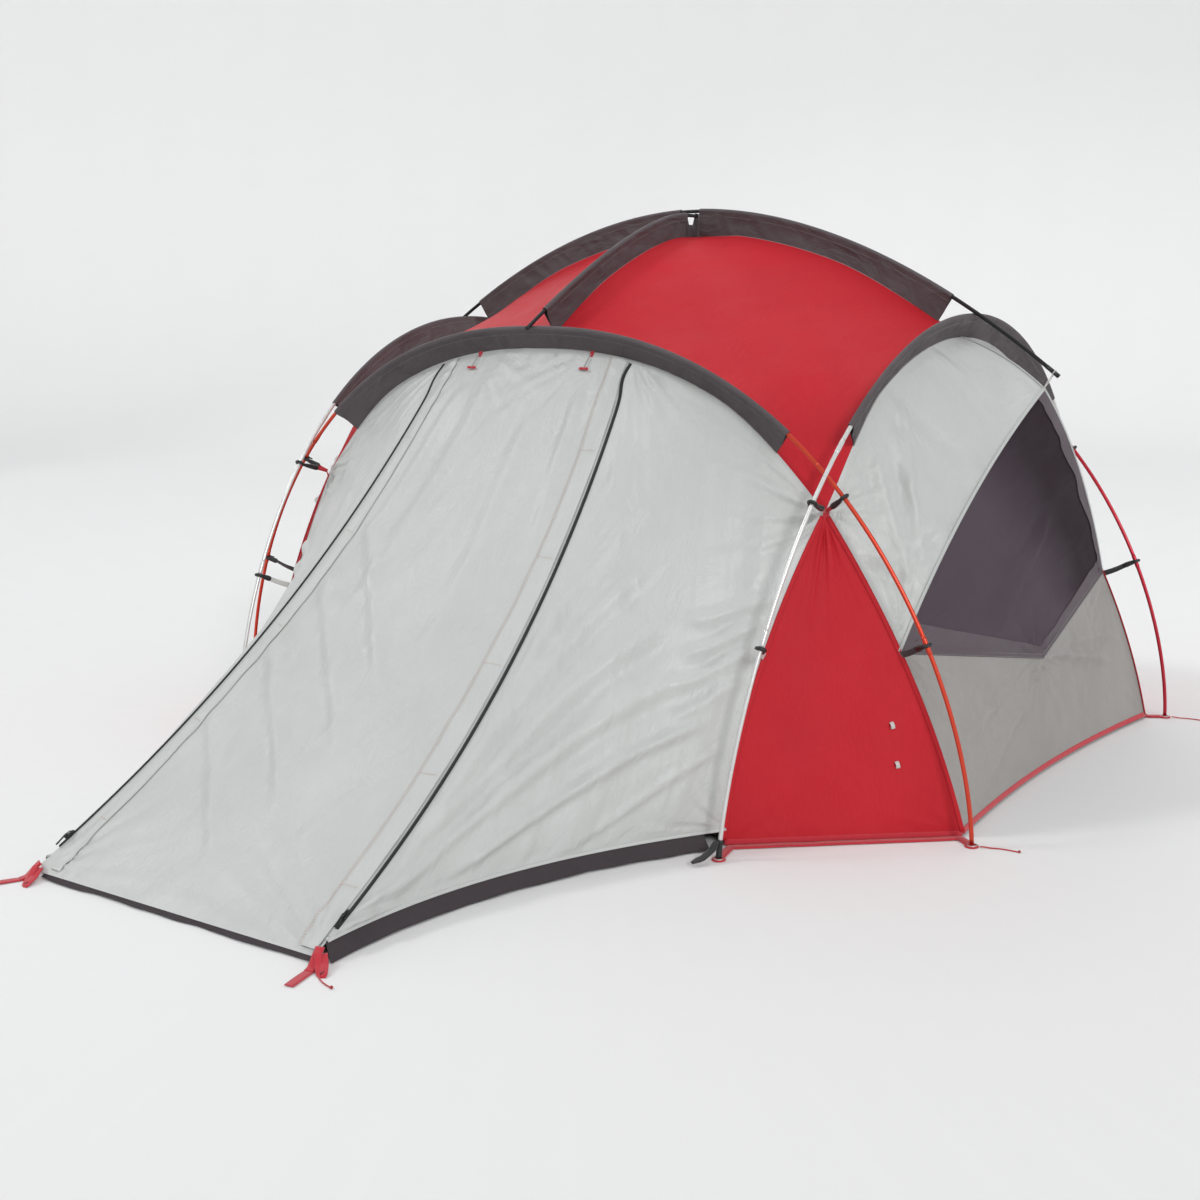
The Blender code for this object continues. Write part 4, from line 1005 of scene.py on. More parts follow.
def seam_tape(name, line, outward, mat="red", half=0.0055, thread="red_thread"):
    """A felled seam: a low raised strip with a row of stitching each side."""
    across, normal = side_frames(line, outward)
    add_mesh(name, ribbon_mesh(line + normal * 0.0010, across, normal, half, 0.0008, 0.4), mat)
    rows = [stitches(line + across * s * half * 0.72 + normal * 0.0018, normal)
            for s in (-1, 1)]
    add_mesh(f"{name}_stitching", joined(rows), thread, slot=MAT[mat][0])


CORNERS = {}
for label, sx, sy in ALL_CORNERS:
    one, two = corner_seam("front", sx, sy), corner_seam("side", sx, sy)
    one, two = one[4:], two[4:]        # the panel's tip is hidden under the clip
    out = unit((sx, sy, 0.25))
    CORNERS[label] = panel(
        f"fly_corner_{label}", "red", f"corner_{label}",
        (np.stack([one[0], two[0]]), np.stack([one[-1], two[-1]]), one, two), (101, 57),
        300 + int(5 * sx + 2 * sy), (0.0035, 0.075, 0.45, 0.12), (0.0012, 0.03, 0.13, 0.25),
        [f"corner_strap_{label}"],
        fans=((0.0, 0.5, 0.13, 0.006, 22), (1.0, 0.0, 0.10, 0.003, 14),
              (1.0, 1.0, 0.10, 0.003, 14)), edge=0.030)
    hem_tape(f"hem_corner_{label}", resample(CORNERS[label][-1], 40) - (0, 0, 0.0045), out)
    seam_tape(f"seam_{label}_a", resample(one, 80), out)
    seam_tape(f"seam_{label}_b", resample(two, 80), out)


for flank, sx in FLANKS:
    out = np.array([sx, 0.0, 0.35])
    peak = np.array([sx * BROW_TIP[0], 0.0, BROW_TIP[1]])
    sill = np.array([sx * SILL[0], 0.0, SILL[1]])
    spine = bowed(half_arch(flank, peak)[0], peak, (sx * 0.004, 0, 0.014))
    edges, sills, lows = {}, {}, {}
    for end, sy in (("front", -1), ("back", 1)):
        seam = corner_seam("side", sx, sy)
        cut = int(round(len(seam) * WINDOW_AT))
        top = half_arch(flank, seam[0])
        corner = seam[cut]
        edges[end] = bowed(corner, peak, (0, sy * BROW_BOW[0], BROW_BOW[1]))
        sills[end] = np.stack([corner, sill])
        lows[end] = seam[cut:]
        panel(
            f"fly_{flank}_brow_{end}", "grey", f"{flank}_panel_{end}",
            (top[::-1], edges[end], seam[:cut + 1], spine), (89, 97),
            400 + int(3 * sx + sy), (0.0062, 0.060, 0.55, -0.25), (0.0022, 0.028, 0.16, -0.15),
            [f"hoop_pole_{flank}"],
            fans=((0.0, 0.0, 0.16, 0.008, 24), (1.0, 0.0, 0.16, 0.007, 22),
                  (1.0, 1.0, 0.10, 0.005, 18)),
            lines=((0.10, 0.30, 0.95, 0.12, 0.010, 0.018), (0.06, 0.55, 0.90, 0.22, 0.008, 0.018),
                   (0.05, 0.78, 0.90, 0.75, 0.008, 0.026), (0.30, 0.02, 0.92, 0.20, 0.009, 0.014),
                   (0.40, 0.02, 0.95, 0.28, 0.008, 0.013), (0.22, 0.03, 0.80, 0.14, 0.007, 0.012),
                   (0.12, 0.42, 0.70, 0.30, 0.007, 0.016), (0.50, 0.02, 0.90, 0.40, 0.006, 0.014)),
            edge=0.035)
        seam_tape(f"brow_edge_{flank}_{end}", resample(edges[end], 90), out, "grey", 0.0050,
                  "grey_thread")
    seam_tape(f"brow_seam_{flank}", resample(spine, 50), (sx * 0.3, 0.0, 1.0), "grey", 0.0040,
              "grey_thread")
    window = panel(
        f"fly_{flank}_window", "slate", f"{flank}_window",
        (edges["back"][::-1], sills["front"], edges["front"][::-1], sills["back"]), (81, 81),
        430 + sx, (0.0060, 0.09, 0.50, 0.5), (0.0015, 0.03, 0.12, 0.4), [f"{flank}_panel_front"],
        fans=((1.0, 1.0, 0.12, 0.006, 16), (1.0, 0.0, 0.10, 0.005, 14),
              (0.0, 1.0, 0.10, 0.005, 14)),
        lines=((0.25, 0.45, 0.92, 0.55, 0.012, 0.025),), edge=0.03)
    for name, share, lift in ((f"window_edge_{flank}", (0.0, 1.0, 0.0, EDGE_STRIP, 8, 60), 0.0022),
                              (f"window_border_{flank}_front", (0.0, 1.0, 0.91, 1.0, 12, 60),
                               0.0016),
                              (f"window_border_{flank}_back",
                               (0.93, 1.0, EDGE_STRIP, 0.91, 50, 8), 0.0016)):
        border = part_of(window, *share)
        cloth(name, border + normals(border, out) * lift, "slate_strip")
    for end in ("front", "back"):
        seam_tape(f"sill_{flank}_{end}", resample(sills[end], 50), out, "slate_strip", 0.0060,
                  "grey_thread")
    hem = bowed(lows["front"][-1], lows["back"][-1], (-sx * SIDE_HEM_BOW, 0, 0))
    upper = np.concatenate([sills["front"], sills["back"][:1]])
    lower = panel(
        f"fly_{flank}_lower", "warm", f"{flank}_panel_lower",
        (upper, hem, lows["front"], lows["back"]), (65, 121), 440 + sx,
        (0.0060, 0.055, 0.40, 0.15), (0.0018, 0.025, 0.12, 0.2), ["corner_strap_front_right"],
        lines=((0.06, 0.55, 0.55, 0.90, 0.010, 0.016), (0.05, 0.45, 0.60, 0.08, 0.009, 0.016),
               (0.10, 0.62, 0.42, 0.97, 0.007, 0.014), (0.04, 0.20, 0.80, 0.16, 0.006, 0.014),
               (0.04, 0.28, 0.75, 0.25, 0.006, 0.012), (0.05, 0.72, 0.80, 0.70, 0.006, 0.014),
               (0.95, 0.10, 0.40, 0.45, 0.006, 0.018)),
        fans=((0.0, 0.0, 0.14, 0.008, 22), (0.0, 1.0, 0.14, 0.008, 22),
              (0.0, 0.5, 0.12, 0.006, 18), (1.0, 0.0, 0.10, 0.005, 16),
              (1.0, 1.0, 0.10, 0.005, 16)), edge=0.04)
    hem_tape(f"hem_{flank}", resample(lower[-1], 80), out)

right, left = corner_seam("front", 1, 1), corner_seam("front", -1, 1)
arch = ordered(ARCH["back"], right[0])
hem = bowed(right[-1], left[-1], (0, -SIDE_HEM_BOW, 0), 200)
BACK = skin(arch, hem, right, left, 129, 129)
BACK_WRINKLED = folded(BACK, 450, (0.0060, 0.09, 0.60, 0.08), (0.0016, 0.03, 0.14, 0.2),
                       fans=((0.0, 0.0, 0.2, 0.009, 22), (0.0, 1.0, 0.2, 0.009, 22),
                             (0.0, 0.5, 0.15, 0.005, 16), (1.0, 0.0, 0.12, 0.005, 16),
                             (1.0, 1.0, 0.12, 0.005, 16)), edge=0.05)
cut = int(round(WINDOW_V * (len(BACK) - 1)))
back_out = np.array([0.0, 1.0, 0.35])
for label, rows, mat in (("upper", slice(0, cut + 1), "grey"),
                         ("lower", slice(cut, None), "warm")):
    cloth(f"fly_back_{label}", BACK_WRINKLED[rows], mat, f"back_panel_{label}",
          flat_grid=BACK[rows])
seam_tape("back_middle_seam", resample(BACK_WRINKLED[cut], 100), back_out, "grey", 0.005,
          "grey_thread")
hem_tape("hem_back", resample(BACK_WRINKLED[-1], 80), back_out)

# ---- vestibule -------------------------------------------------------------------
STAKE_Z, LEG_GAP = 0.030, 0.050
ZIP_TOP, ZIP_SAG = {"right": 0.291, "left": -0.326}, {"right": 0.1217, "left": 0.0836}
HEADER_DROP, HEM_BOW_VEST = 0.060, 0.090
VALANCE_TOP, VALANCE_FLARE, VALANCE_FOOT = 0.038, 0.022, 0.0022
DOOR_HEM_Z = 0.0115        # the door's cloth hangs over the top of its skirt


def seam_point(x):
    """The point of the front hoop's seam at one x."""
    line = ordered(ARCH["front"], (-1, -0.6, 0.7))
    return np.array([np.interp(x, line[:, 0], line[:, k]) for k in range(3)])


ARC_POINTS = 241


def hanging_arc(start, end, sag):
    """A circular arc in the upright plane of its ends that hangs below their chord."""
    chord = np.linalg.norm(end - start)
    along = (end - start) / chord
    rise = unit(np.array([0, 0, 1.0]) - along[2] * along)
    radius = (chord ** 2 / 4 + sag ** 2) / (2 * sag)
    centre = (start + end) / 2 + rise * (radius - sag)
    half = math.asin(chord / 2 / radius)
    angles = np.linspace(-half, half, ARC_POINTS)[:, None]
    return centre + radius * (np.sin(angles) * along - np.cos(angles) * rise)


ARCS, ZIPS = {}, {}        # the sliders' paths, and the zips as they hang beside them
for side, x in ZIP_TOP.items():
    ARCS[side] = hanging_arc(seam_point(x), np.array((*STAKES[side], STAKE_Z)), ZIP_SAG[side])
    f = np.linspace(0, 1, len(ARCS[side]))
    along = unit(seam_point(x - 0.02) - seam_point(x + 0.02))
    aside = 0.006 * (1 - smooth(f / 0.8)) + 0.010 * np.exp(-((f - 0.035) / 0.025) ** 2) * smooth(
        f / 0.02)
    ZIPS[side] = ARCS[side] + along * aside[:, None]
ZIP_OUT = {"right": np.array([0.93, 0.36, 0.0]), "left": np.array([-0.93, 0.36, 0.0])}


def zip_frame(side, line):
    """Directions along, across and out of a zip."""
    tangent = tangents(line)
    across = units(ZIP_OUT[side] - (tangent @ ZIP_OUT[side])[:, None] * tangent)
    normal = np.cross(tangent, across)
    normal *= np.sign(normal[:, 2:3])
    return tangent, across, normal


def vest_hem(side, sx):
    """The vestibule's lower edge, from a stake to the front hoop's leg."""
    return bowed((*STAKES[side], VALANCE_TOP), (sx * HEM_FRONT[0], HEM_FRONT[1], VALANCE_TOP),
                 (-sx * HEM_BOW_VEST, 0, 0), 100)


def valance(name, hem, out, node, seed, body="shell", high=VALANCE_TOP, flare=1.0,
            short=0.012):
    """The flap from the hem down and out to the ground, with a rippled free edge."""
    hem = resample(resample(hem, 120), 120, 0.012, short)
    run = np.linspace(0, length(hem), 120)
    rows, away = [], np.array([*out, 0.0])
    for f in np.linspace(0, 1, 9):
        wobble = 0.0045 * f * value_noise(run / 0.06, 0 * run + 0.4, seed)
        line = hem + away * VALANCE_FLARE * flare * f ** 1.5 + away * wobble[:, None]
        line[:, 2] = high + f * (VALANCE_FOOT - high) + 0.002 * f * (
            1 + value_noise(run / 0.09, 0 * run + 3.4, seed + 3))
        rows.append(line)
    cloth(name, np.stack(rows), "valance", node, body=body)


for side, sx in FLANKS:
    inner = ZIPS[side][ZIPS[side][:, 2] > VALANCE_TOP]
    leg = corner_seam("front", sx, -1)
    leg = leg[leg[:, 2] > VALANCE_TOP]
    arch = ordered(ARCH["front"], (sx, -0.6, 0.7))
    arch = ordered(arch[arch[:, 0] * sx > inner[0][0] * sx], inner[0])
    arch = np.concatenate([[inner[0]], arch])
    hem = ordered(vest_hem(side, sx), inner[-1])
    hem[0], hem[-1] = inner[-1], leg[-1]
    panel(f"fly_vestibule_{side}", "grey", f"vestibule_{side}", (arch, hem, inner, leg),
          (209, 137), 500 + sx, (0.0085, 0.075, 0.60, -0.30 * sx),
          (0.0018, 0.030, 0.20, -0.45 * sx), ["hoop_pole_front", f"hoop_pole_{side}"],
          fans=((0.0, 1.0, 0.17, 0.010, 26), (1.0, 0.0, 0.28, 0.012, 26),
                (0.0, 0.0, 0.12, 0.006, 20), (1.0, 1.0, 0.12, 0.006, 18)),
          lines=((0.05, 0.75, 0.70, 0.85, 0.007, 0.03), (0.92, 0.04, 0.40, 0.62, 0.014, 0.019),
                 (0.97, 0.10, 0.52, 0.80, 0.013, 0.017), (0.84, 0.03, 0.28, 0.44, 0.013, 0.020),
                 (0.72, 0.03, 0.18, 0.30, 0.011, 0.022), (0.98, 0.28, 0.66, 0.90, 0.012, 0.015),
                 (0.58, 0.03, 0.12, 0.16, 0.006, 0.022), (0.30, 0.98, 0.44, 0.62, 0.009, 0.012),
                 (0.38, 0.98, 0.52, 0.66, 0.009, 0.012), (0.46, 0.98, 0.60, 0.68, 0.009, 0.012),
                 (0.55, 0.98, 0.68, 0.72, 0.005, 0.012), (0.98, 0.60, 0.74, 0.97, 0.005, 0.014)),
          edge=(0.04, 0.03, 0.05, 0.03))
    valance(f"skirt_{side}", vest_hem(side, sx), (sx * 0.95, -0.3), f"valance_{side}", 510 + sx,
            short=LEG_GAP)
    hem_tape(f"skirt_seam_{side}", resample(hem, 90), (sx, -0.3, 0.5), "grey", 0.004)

# ---- door ------------------------------------------------------------------------
HINGE_LEFT = resample(ARCS["left"], 2, HEADER_DROP)[0]
HINGE_RIGHT = resample(ARCS["right"], 2, HEADER_DROP)[0]
HINGE_MID = (HINGE_LEFT + HINGE_RIGHT) / 2
arch = ordered(ARCH["front"], (-1, -0.6, 0.7))
head = arch[(arch[:, 0] > ZIPS["left"][0][0] + 0.002)
            & (arch[:, 0] < ZIPS["right"][0][0] - 0.002)]
head = np.concatenate([[ZIPS["left"][0]], head, [ZIPS["right"][0]]])
sides = {side: np.concatenate([arc, [arc[-1] + (0, -0.006, DOOR_HEM_Z - arc[-1][2])]])
         for side, arc in ZIPS.items()}
hem = np.stack([sides["left"][-1], sides["right"][-1]])
DOOR_FLAT = skin(head, hem, sides["left"], sides["right"], 161, 97)
DOOR = folded(DOOR_FLAT, 600, (0.0070, 0.075, 0.60, 0.30), (0.0014, 0.030, 0.20, 0.35),
              fans=((0.0, 0.20, 0.12, 0.006, 18), (0.0, 0.80, 0.12, 0.006, 18),
                    (1.0, 0.0, 0.16, 0.006, 20), (1.0, 1.0, 0.18, 0.007, 22)),
              lines=((0.04, 0.35, 0.55, 0.30, 0.008, 0.026), (0.06, 0.62, 0.60, 0.70, 0.007, 0.026),
                     (0.03, 0.22, 0.40, 0.14, 0.007, 0.018), (0.03, 0.80, 0.35, 0.86, 0.006, 0.016),
                     (0.30, 0.08, 0.62, 0.62, 0.009, 0.020), (0.42, 0.06, 0.74, 0.66, 0.009, 0.020),
                     (0.55, 0.05, 0.84, 0.60, 0.009, 0.018), (0.68, 0.04, 0.93, 0.52, 0.008, 0.018),
                     (0.45, 0.95, 0.80, 0.60, 0.005, 0.018), (0.60, 0.96, 0.92, 0.66, 0.005, 0.018),
                     (0.45, 0.15, 0.95, 0.40, 0.006, 0.040)),
              edge=0.03)
slope = unit(DOOR_FLAT[30, 48] - DOOR_FLAT[0, 48])
TOGGLE_X, CALM = (-0.205, 0.165), 0.070     # the cloth lies flat beneath the two toggles
for x in TOGGLE_X:
    away = np.linalg.norm(DOOR_FLAT - (seam_point(x) + slope * 0.060), axis=2)
    share = np.minimum(1.0, 1.6 * np.exp(-(away / CALM) ** 2))
    DOOR = DOOR + (DOOR_FLAT - DOOR) * share[..., None]
DOOR_BEND = ("shell", "door", HINGE_MID - slope * 0.018 + SHIFT, HINGE_MID + slope * 0.018 + SHIFT)
cloth("fly_door", DOOR, "grey", ("door_header", "door_panel"),
      bend=DOOR_BEND, flat_grid=DOOR_FLAT)
valance("skirt_door", hem, (0.03, -1.0), "valance_door", 520, body="door",
        high=DOOR_HEM_Z, flare=0.35)
DOOR_OUT = (0, -1.0, 0.6)
DOOR_N = normals(DOOR, DOOR_OUT)


def on_door(v, u, lift):
    """A point standing off the door at a share of its height and width."""
    return at_uv(DOOR, u, v) + unit(at_uv(DOOR_N, u, v)) * lift


def door_width(v):
    """The door's width at a share of its height."""
    return length(DOOR_FLAT[int(round(v * (len(DOOR_FLAT) - 1)))])


def door_piece(name, parts, mat):
    """A piece sewn to the door."""
    obj = add_mesh(name, joined(parts), mat, body=None)
    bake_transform(obj)


def from_zip(side, v, away):
    """The share of the door's width that lies a distance in from one zip."""
    share = away / door_width(v)
    return 1 - share if side == "right" else share


FLAPS = {"right": (0.050, 0.010), "left": (0.030, 0.024)}   # flap width, gap to the zip
for side, (wide, gap) in FLAPS.items():
    rows = np.linspace(0.004, 0.992, 150)
    grid = []
    for v in rows:
        row = []
        for f in np.linspace(0, 1, 9):
            puff = 0.0020 + 0.0022 * math.sin(math.pi * min(1.0, f * 1.05)) + 0.0010 * f
            puff += 0.0016 * f * float(value_noise(np.array(v * 18), np.array(0.3), 610))
            row.append(on_door(v, from_zip(side, v, gap + wide * (1 - f)), puff))
        grid.append(row)
    cloth(f"storm_flap_{side}", np.array(grid), "grey", bend=DOOR_BEND)
    lines = []
    for inset in ((0.0, 0.0045) if side == "right" else (0.0,)):
        line = np.array([on_door(v, from_zip(side, v, gap + wide - inset), 0.0032)
                         for v in rows])
        lines.append(stitches(line, side_frames(line, DOOR_OUT)[1], 0.0060, 0.0042, 0.0008))
    door_piece(f"flap_stitching_{side}", lines, "thread" if side == "right" else "pale_thread")
    bars = []
    for v in np.linspace(0.16, 0.90, 5):
        u = [from_zip(side, v, gap + wide * w) for w in (0.12, 0.95)]
        line = np.array([on_door(v + 0.004 * k, u[0] + (u[1] - u[0]) * k, 0.0060)
                         for k in np.linspace(0, 1, 12)])
        bars.append(stitches(line, side_frames(line, DOOR_OUT)[1], 0.0042, 0.0036, 0.0007))
    door_piece(f"flap_tacks_{side}", bars, "thread")

# ---- zips ------------------------------------------------------------------------
ZIP_HALF_T, COIL_POINTS = 0.0018, 1300
for side, half in (("right", 0.0040), ("left", 0.0022)):
    line = resample(ZIPS[side], 220, 0.012, 0.050)
    _, across, normal = zip_frame(side, line)
    add_mesh(f"zip_tape_{side}", ribbon_mesh(line + normal * 0.0012, across, normal, half, 0.0009),
             "tape", node=f"zipper_{side}")
    fine = resample(ZIPS[side], COIL_POINTS, 0.014, 0.052)
    _, across, normal = zip_frame(side, fine)
    teeth = 0.0012 + 0.0004 * np.sin(np.arange(COIL_POINTS) * math.pi / 2)
    coils = [pipe_mesh(fine + normal * 0.0026 + across * s * 0.0011, teeth, 6)
             for s in (-1, 1)]
    add_mesh(f"zip_coil_{side}", joined(coils), "coil")

SLIDER_AT, SLIDER_THICK = 0.085, 0.0055


def framed(points, axes, origin):
    """Points given along three axes, set at an origin."""
    x, y, z = axes
    return [origin + p[0] * x + p[1] * y + p[2] * z for p in points]


def lofted(sections):
    """A closed solid through rings of points of the same count."""
    verts = [p for ring in sections for p in ring]
    return verts, tube_faces(len(sections), len(sections[0])), [(p[0], p[1]) for p in verts]


ROUNDING = 0.6             # below 1, an oval's corners fill out towards a box


def oval(half_x, half_z, y, z):
    """A rounded box's outline across y."""
    a = np.linspace(0, 2 * math.pi, 20, endpoint=False)
    return [(half_x * np.sign(math.cos(t)) * abs(math.cos(t)) ** ROUNDING, y,
             z + half_z * np.sign(math.sin(t)) * abs(math.sin(t)) ** ROUNDING) for t in a]


for side in ZIPS:
    line = resample(ARCS[side], ARC_POINTS)
    tangent, across, normal = zip_frame(side, line)
    at = int(round((ARC_POINTS - 1) * (1 - SLIDER_AT / length(line))))
    lift = ZIP_HALF_T + 0.0016 + SLIDER_THICK / 2
    body = [oval(w, t, y, z) for y, w, t, z in (
        (-0.0128, 0.0030, 0.0008, 0.0), (-0.0120, 0.0046, 0.0021, 0.0),
        (-0.0060, 0.0058, 0.0027, 0.0), (0.0040, 0.0064, 0.0027, 0.0),
        (0.0110, 0.0052, 0.0022, 0.0), (0.0128, 0.0030, 0.0008, 0.0))]
    bridge = pipe_mesh([(0, -0.007, 0.002), (0, -0.006, 0.0052), (0, 0.001, 0.0060),
                        (0, 0.006, 0.0052), (0, 0.008, 0.002)], 0.0011, 8)
    loop = pipe_mesh([(0.0032 * math.cos(a), 0.006 + 0.0036 * math.sin(a), 0.0060)
                      for a in np.linspace(0, 2 * math.pi, 25)], 0.0008, 8, caps=False)
    tab = lofted([oval(w, t, y, z) for y, w, t, z in (
        (0.0070, 0.0020, 0.0008, 0.0060), (0.0100, 0.0032, 0.0013, 0.0058),
        (0.0240, 0.0027, 0.0011, 0.0045), (0.0330, 0.0032, 0.0014, 0.0036),
        (0.0365, 0.0022, 0.0008, 0.0034))])
    v, f, uv = joined([lofted(body), bridge, loop, tab])
    v = framed(v, (across[at], tangent[at], normal[at]), line[at] + normal[at] * lift)
    add_mesh(f"slider_{side}", (v, f, uv), "slider", f"slider_{side}", f"zip_slider_{side}")

# ---- roll-up toggles -------------------------------------------------------------
TOGGLE_DROP, TOGGLE_LIFT = 0.044, 0.0070
TOGGLE_LEAN = 0.0105       # how far the cloth's curve holds the bar off the straight line
for label, x in (("left", TOGGLE_X[0]), ("right", TOGGLE_X[1])):
    top = seam_point(x)
    share = (x - HINGE_LEFT[0]) / (HINGE_RIGHT[0] - HINGE_LEFT[0])
    low = HINGE_LEFT + (HINGE_RIGHT - HINGE_LEFT) * share
    slope = unit(low - top)
    out = unit(np.cross(slope, (1, 0, 0)))
    out = out * np.sign(-out[1])
    start = top + slope * 0.010 + out * TOGGLE_LIFT
    end = start + slope * TOGGLE_DROP + out * TOGGLE_LEAN
    strand = start + (end - start) * np.linspace(0, 1, 24)[:, None]
    bar_line = end + np.linspace(-0.0145, 0.0145, 13)[:, None] * np.array([1.0, 0, 0])
    bar = pipe_mesh(bar_line, [0.0014, 0.0032, 0.0037, 0.0036, 0.0032, 0.0029, 0.0027, 0.0029,
                               0.0032, 0.0036, 0.0037, 0.0032, 0.0014], 14)
    a = np.linspace(0, 2 * math.pi, 20)
    loop = end + np.stack([0.0026 * np.sin(a), 0 * a, 0.0026 * np.cos(a)], axis=1)
    parts = [pipe_mesh(strand, 0.0014, 10), pipe_mesh(loop, 0.0012, 8, caps=False)]
    add_mesh(f"toggle_cord_{label}", joined(parts), "grey_thread", f"toggle_{label}",
             f"toggle_{label}", "red_cord")
    add_mesh(f"toggle_bar_{label}", bar, "strap", f"toggle_{label}", slot="red_cord")
    patch = resample(np.stack([top + out * 0.0022, top + slope * 0.016 + out * 0.0032]), 6)
    add_mesh(f"toggle_patch_{label}", laid_ribbon(patch, out, 0.006, 0.0010), "strap")


# ---- clips -----------------------------------------------------------------------
def pole_at(side, sx, sy, height):
    """Pole centre and direction on one leg at one height."""
    centre = LINES[side][0]
    ok = np.where((centre[:, 0] * sx > 0) & (centre[:, 1] * sy > 0))[0]
    k = ok[np.argmin(np.abs(centre[ok, 2] - height))]
    k = min(max(k, 1), len(centre) - 2)
    return centre[k], unit(centre[k + 1] - centre[k - 1])


HOOK_STEM, HOOK_GRIP = 0.0062, POLE_R + 0.0042
JAW_START, JAW_SWEEP = math.radians(38), math.radians(275)


def hook(root, centre, direction):
    """A moulded hook: a stem from the strap, then a jaw most of the way round a pole."""
    way = root - centre
    way = unit(way - np.dot(way, direction) * direction)
    other = np.cross(direction, way)
    jaw = [centre + HOOK_GRIP * (math.cos(a) * way + math.sin(a) * other)
           for a in np.linspace(JAW_START, JAW_START + JAW_SWEEP, 22)]
    stem_line = [root + (jaw[0] - root) * f for f in (0.0, 0.3, 0.6, 0.85)]
    points = resample(np.array(stem_line + jaw), 40)
    radii = np.interp(np.linspace(0, 1, 40), [0, 0.08, 0.35, 0.5, 0.9, 1.0],
                      [HOOK_STEM * 1.1, HOOK_STEM * 1.25, HOOK_STEM, 0.0046, 0.0040, 0.0042])
    thumb = [jaw[-1], jaw[-1] + (way * 0.2 + other * -0.6) * 0.006,
             jaw[-1] + (way * 0.9 + other * -0.8) * 0.010]
    return joined([pipe_mesh(points, radii, 12),
                   pipe_mesh(resample(np.array(thumb), 6), [0.0026, 0.0026, 0.0024, 0.0022,
                                                            0.0020, 0.0012], 10)])


CLIP_OUT = 0.0130          # how far a crossing's hooks meet in front of the cloth
HOOK_REACH = 0.032         # from a leg hook's root to the middle of its pole


def strap_between(a, b, outward, half, sag=0.0):
    """A short strap from a to b, hanging a little between them."""
    line = resample(np.stack([a, b]), 8)
    line[:, 2] -= sag * np.sin(np.linspace(0, math.pi, 8))
    return laid_ribbon(line, outward, half, 0.0009)


for label, sx, sy in ALL_CORNERS:
    corner = mirrored(CORNER, sx, -sy)
    outward = unit((sx * 0.72, sy * 0.62, 0.30))
    knot = corner + outward * CLIP_OUT
    near, flank = label.split("_")
    hooks, ties = [], []
    for side, rise in ((flank, 0.030), (near, 0.045)):
        centre, direction = pole_at(side, sx, sy, CORNER[2] + rise)
        root = knot + (centre - knot) * 0.34
        hooks.append(hook(root, centre, direction))
        ties.append(strap_between(knot - outward * 0.004, knot + (centre - knot) * 0.40,
                                  outward, 0.0050))
    add_mesh(f"crossing_hooks_{label}", joined(hooks), "clip", node=f"corner_clip_{label}")
    ties.append(strap_between(corner - np.array([0, 0, 0.030]) + outward * 0.002,
                              knot + (0, 0, 0.004), outward, 0.0075))
    add_mesh(f"crossing_tie_{label}", joined(ties), "strap")

for label, sx, sy in ALL_CORNERS:
    near, flank = label.split("_")
    for kind, side, height, seam_kind, white in (("side_hoop", flank, 0.447, "front", "white"),
                                                 ("end_hoop", near, 0.437, "side", "black")):
        centre, direction = pole_at(side, sx, sy, height)
        seam = corner_seam(seam_kind, sx, sy)
        spot = seam[np.argmin(np.linalg.norm(seam - centre, axis=1))]
        way = centre - spot
        outward = unit((sx, sy, 0.2))
        root = spot + way * (1 - HOOK_REACH / np.linalg.norm(way))
        add_mesh(f"leg_hook_{kind}_{label}", hook(root, centre, direction), "clip")
        add_mesh(f"leg_tab_{kind}_{label}", strap_between(spot, root, outward, 0.0078, 0.002),
                 f"{white}_strap")

# ---- ground webbing --------------------------------------------------------------
STRAP_HALF_W, STRAP_T = 0.010, 0.0045


def ground_strap(name, path, node, seed, grommets=(), thick=STRAP_T):
    """Webbing lying on the ground, with box stitching and a grommet at pole feet."""
    line = resample(path, 60)
    up = np.tile([0, 0, 1.0], (60, 1))
    across = np.cross(tangents(line), up)
    run = np.linspace(0, length(line), 60)
    line[:, 2] = thick / 2 + 0.0004 + 0.0007 * (1 + value_noise(run / 0.05, 0 * run, seed))
    add_mesh(f"{name}_webbing", ribbon_mesh(line, across, up, STRAP_HALF_W,
                                            thick / 2 - 0.0006, 0.2),
             "strap", node=node)
    rows = [stitches(line + across * s * STRAP_HALF_W * 0.78 + (0, 0, thick / 2 - 0.0004), up)
            for s in (-1, 1)]
    add_mesh(f"{name}_stitching", joined(rows), "red_thread")
    for k, at in enumerate(grommets):
        a = np.linspace(0, 2 * math.pi, 33)
        ring = np.stack([at[0] + 0.0105 * np.cos(a), at[1] + 0.0105 * np.sin(a),
                         0 * a + thick * 0.9], axis=1)
        add_mesh(f"{name}_grommet_{k}", pipe_mesh(ring, 0.0018, 8, caps=False), "grommet")
        disc = [[np.array((at[0] + r * math.cos(t), at[1] + r * math.sin(t), z))
                 for t in np.linspace(0, 2 * math.pi, 40, endpoint=False)]
                for r, z in ((0.0155, 0.0006), (0.016, 0.0020), (0.0150, thick * 0.85),
                             (0.0100, thick * 0.92), (0.0062, thick * 0.90))]
        add_mesh(f"{name}_pad_{k}", lofted(disc), "strap")


for label, sx, sy in ALL_CORNERS:
    near, flank = label.split("_")
    a, d = foot_of(flank, sx, sy), foot_of(near, sx, sy)
    m = np.array([sx, -sy])
    b = (np.array(HEM_FRONT) + (0.020, -0.006)) * m
    c = (np.array(HEM_SIDE) + (0.002, -0.018)) * m
    path = np.array([(*p, 0.0) for p in (a, b, c, d)])
    ground_strap(f"corner_{label}", path, f"corner_strap_{label}", 20, (a, d))

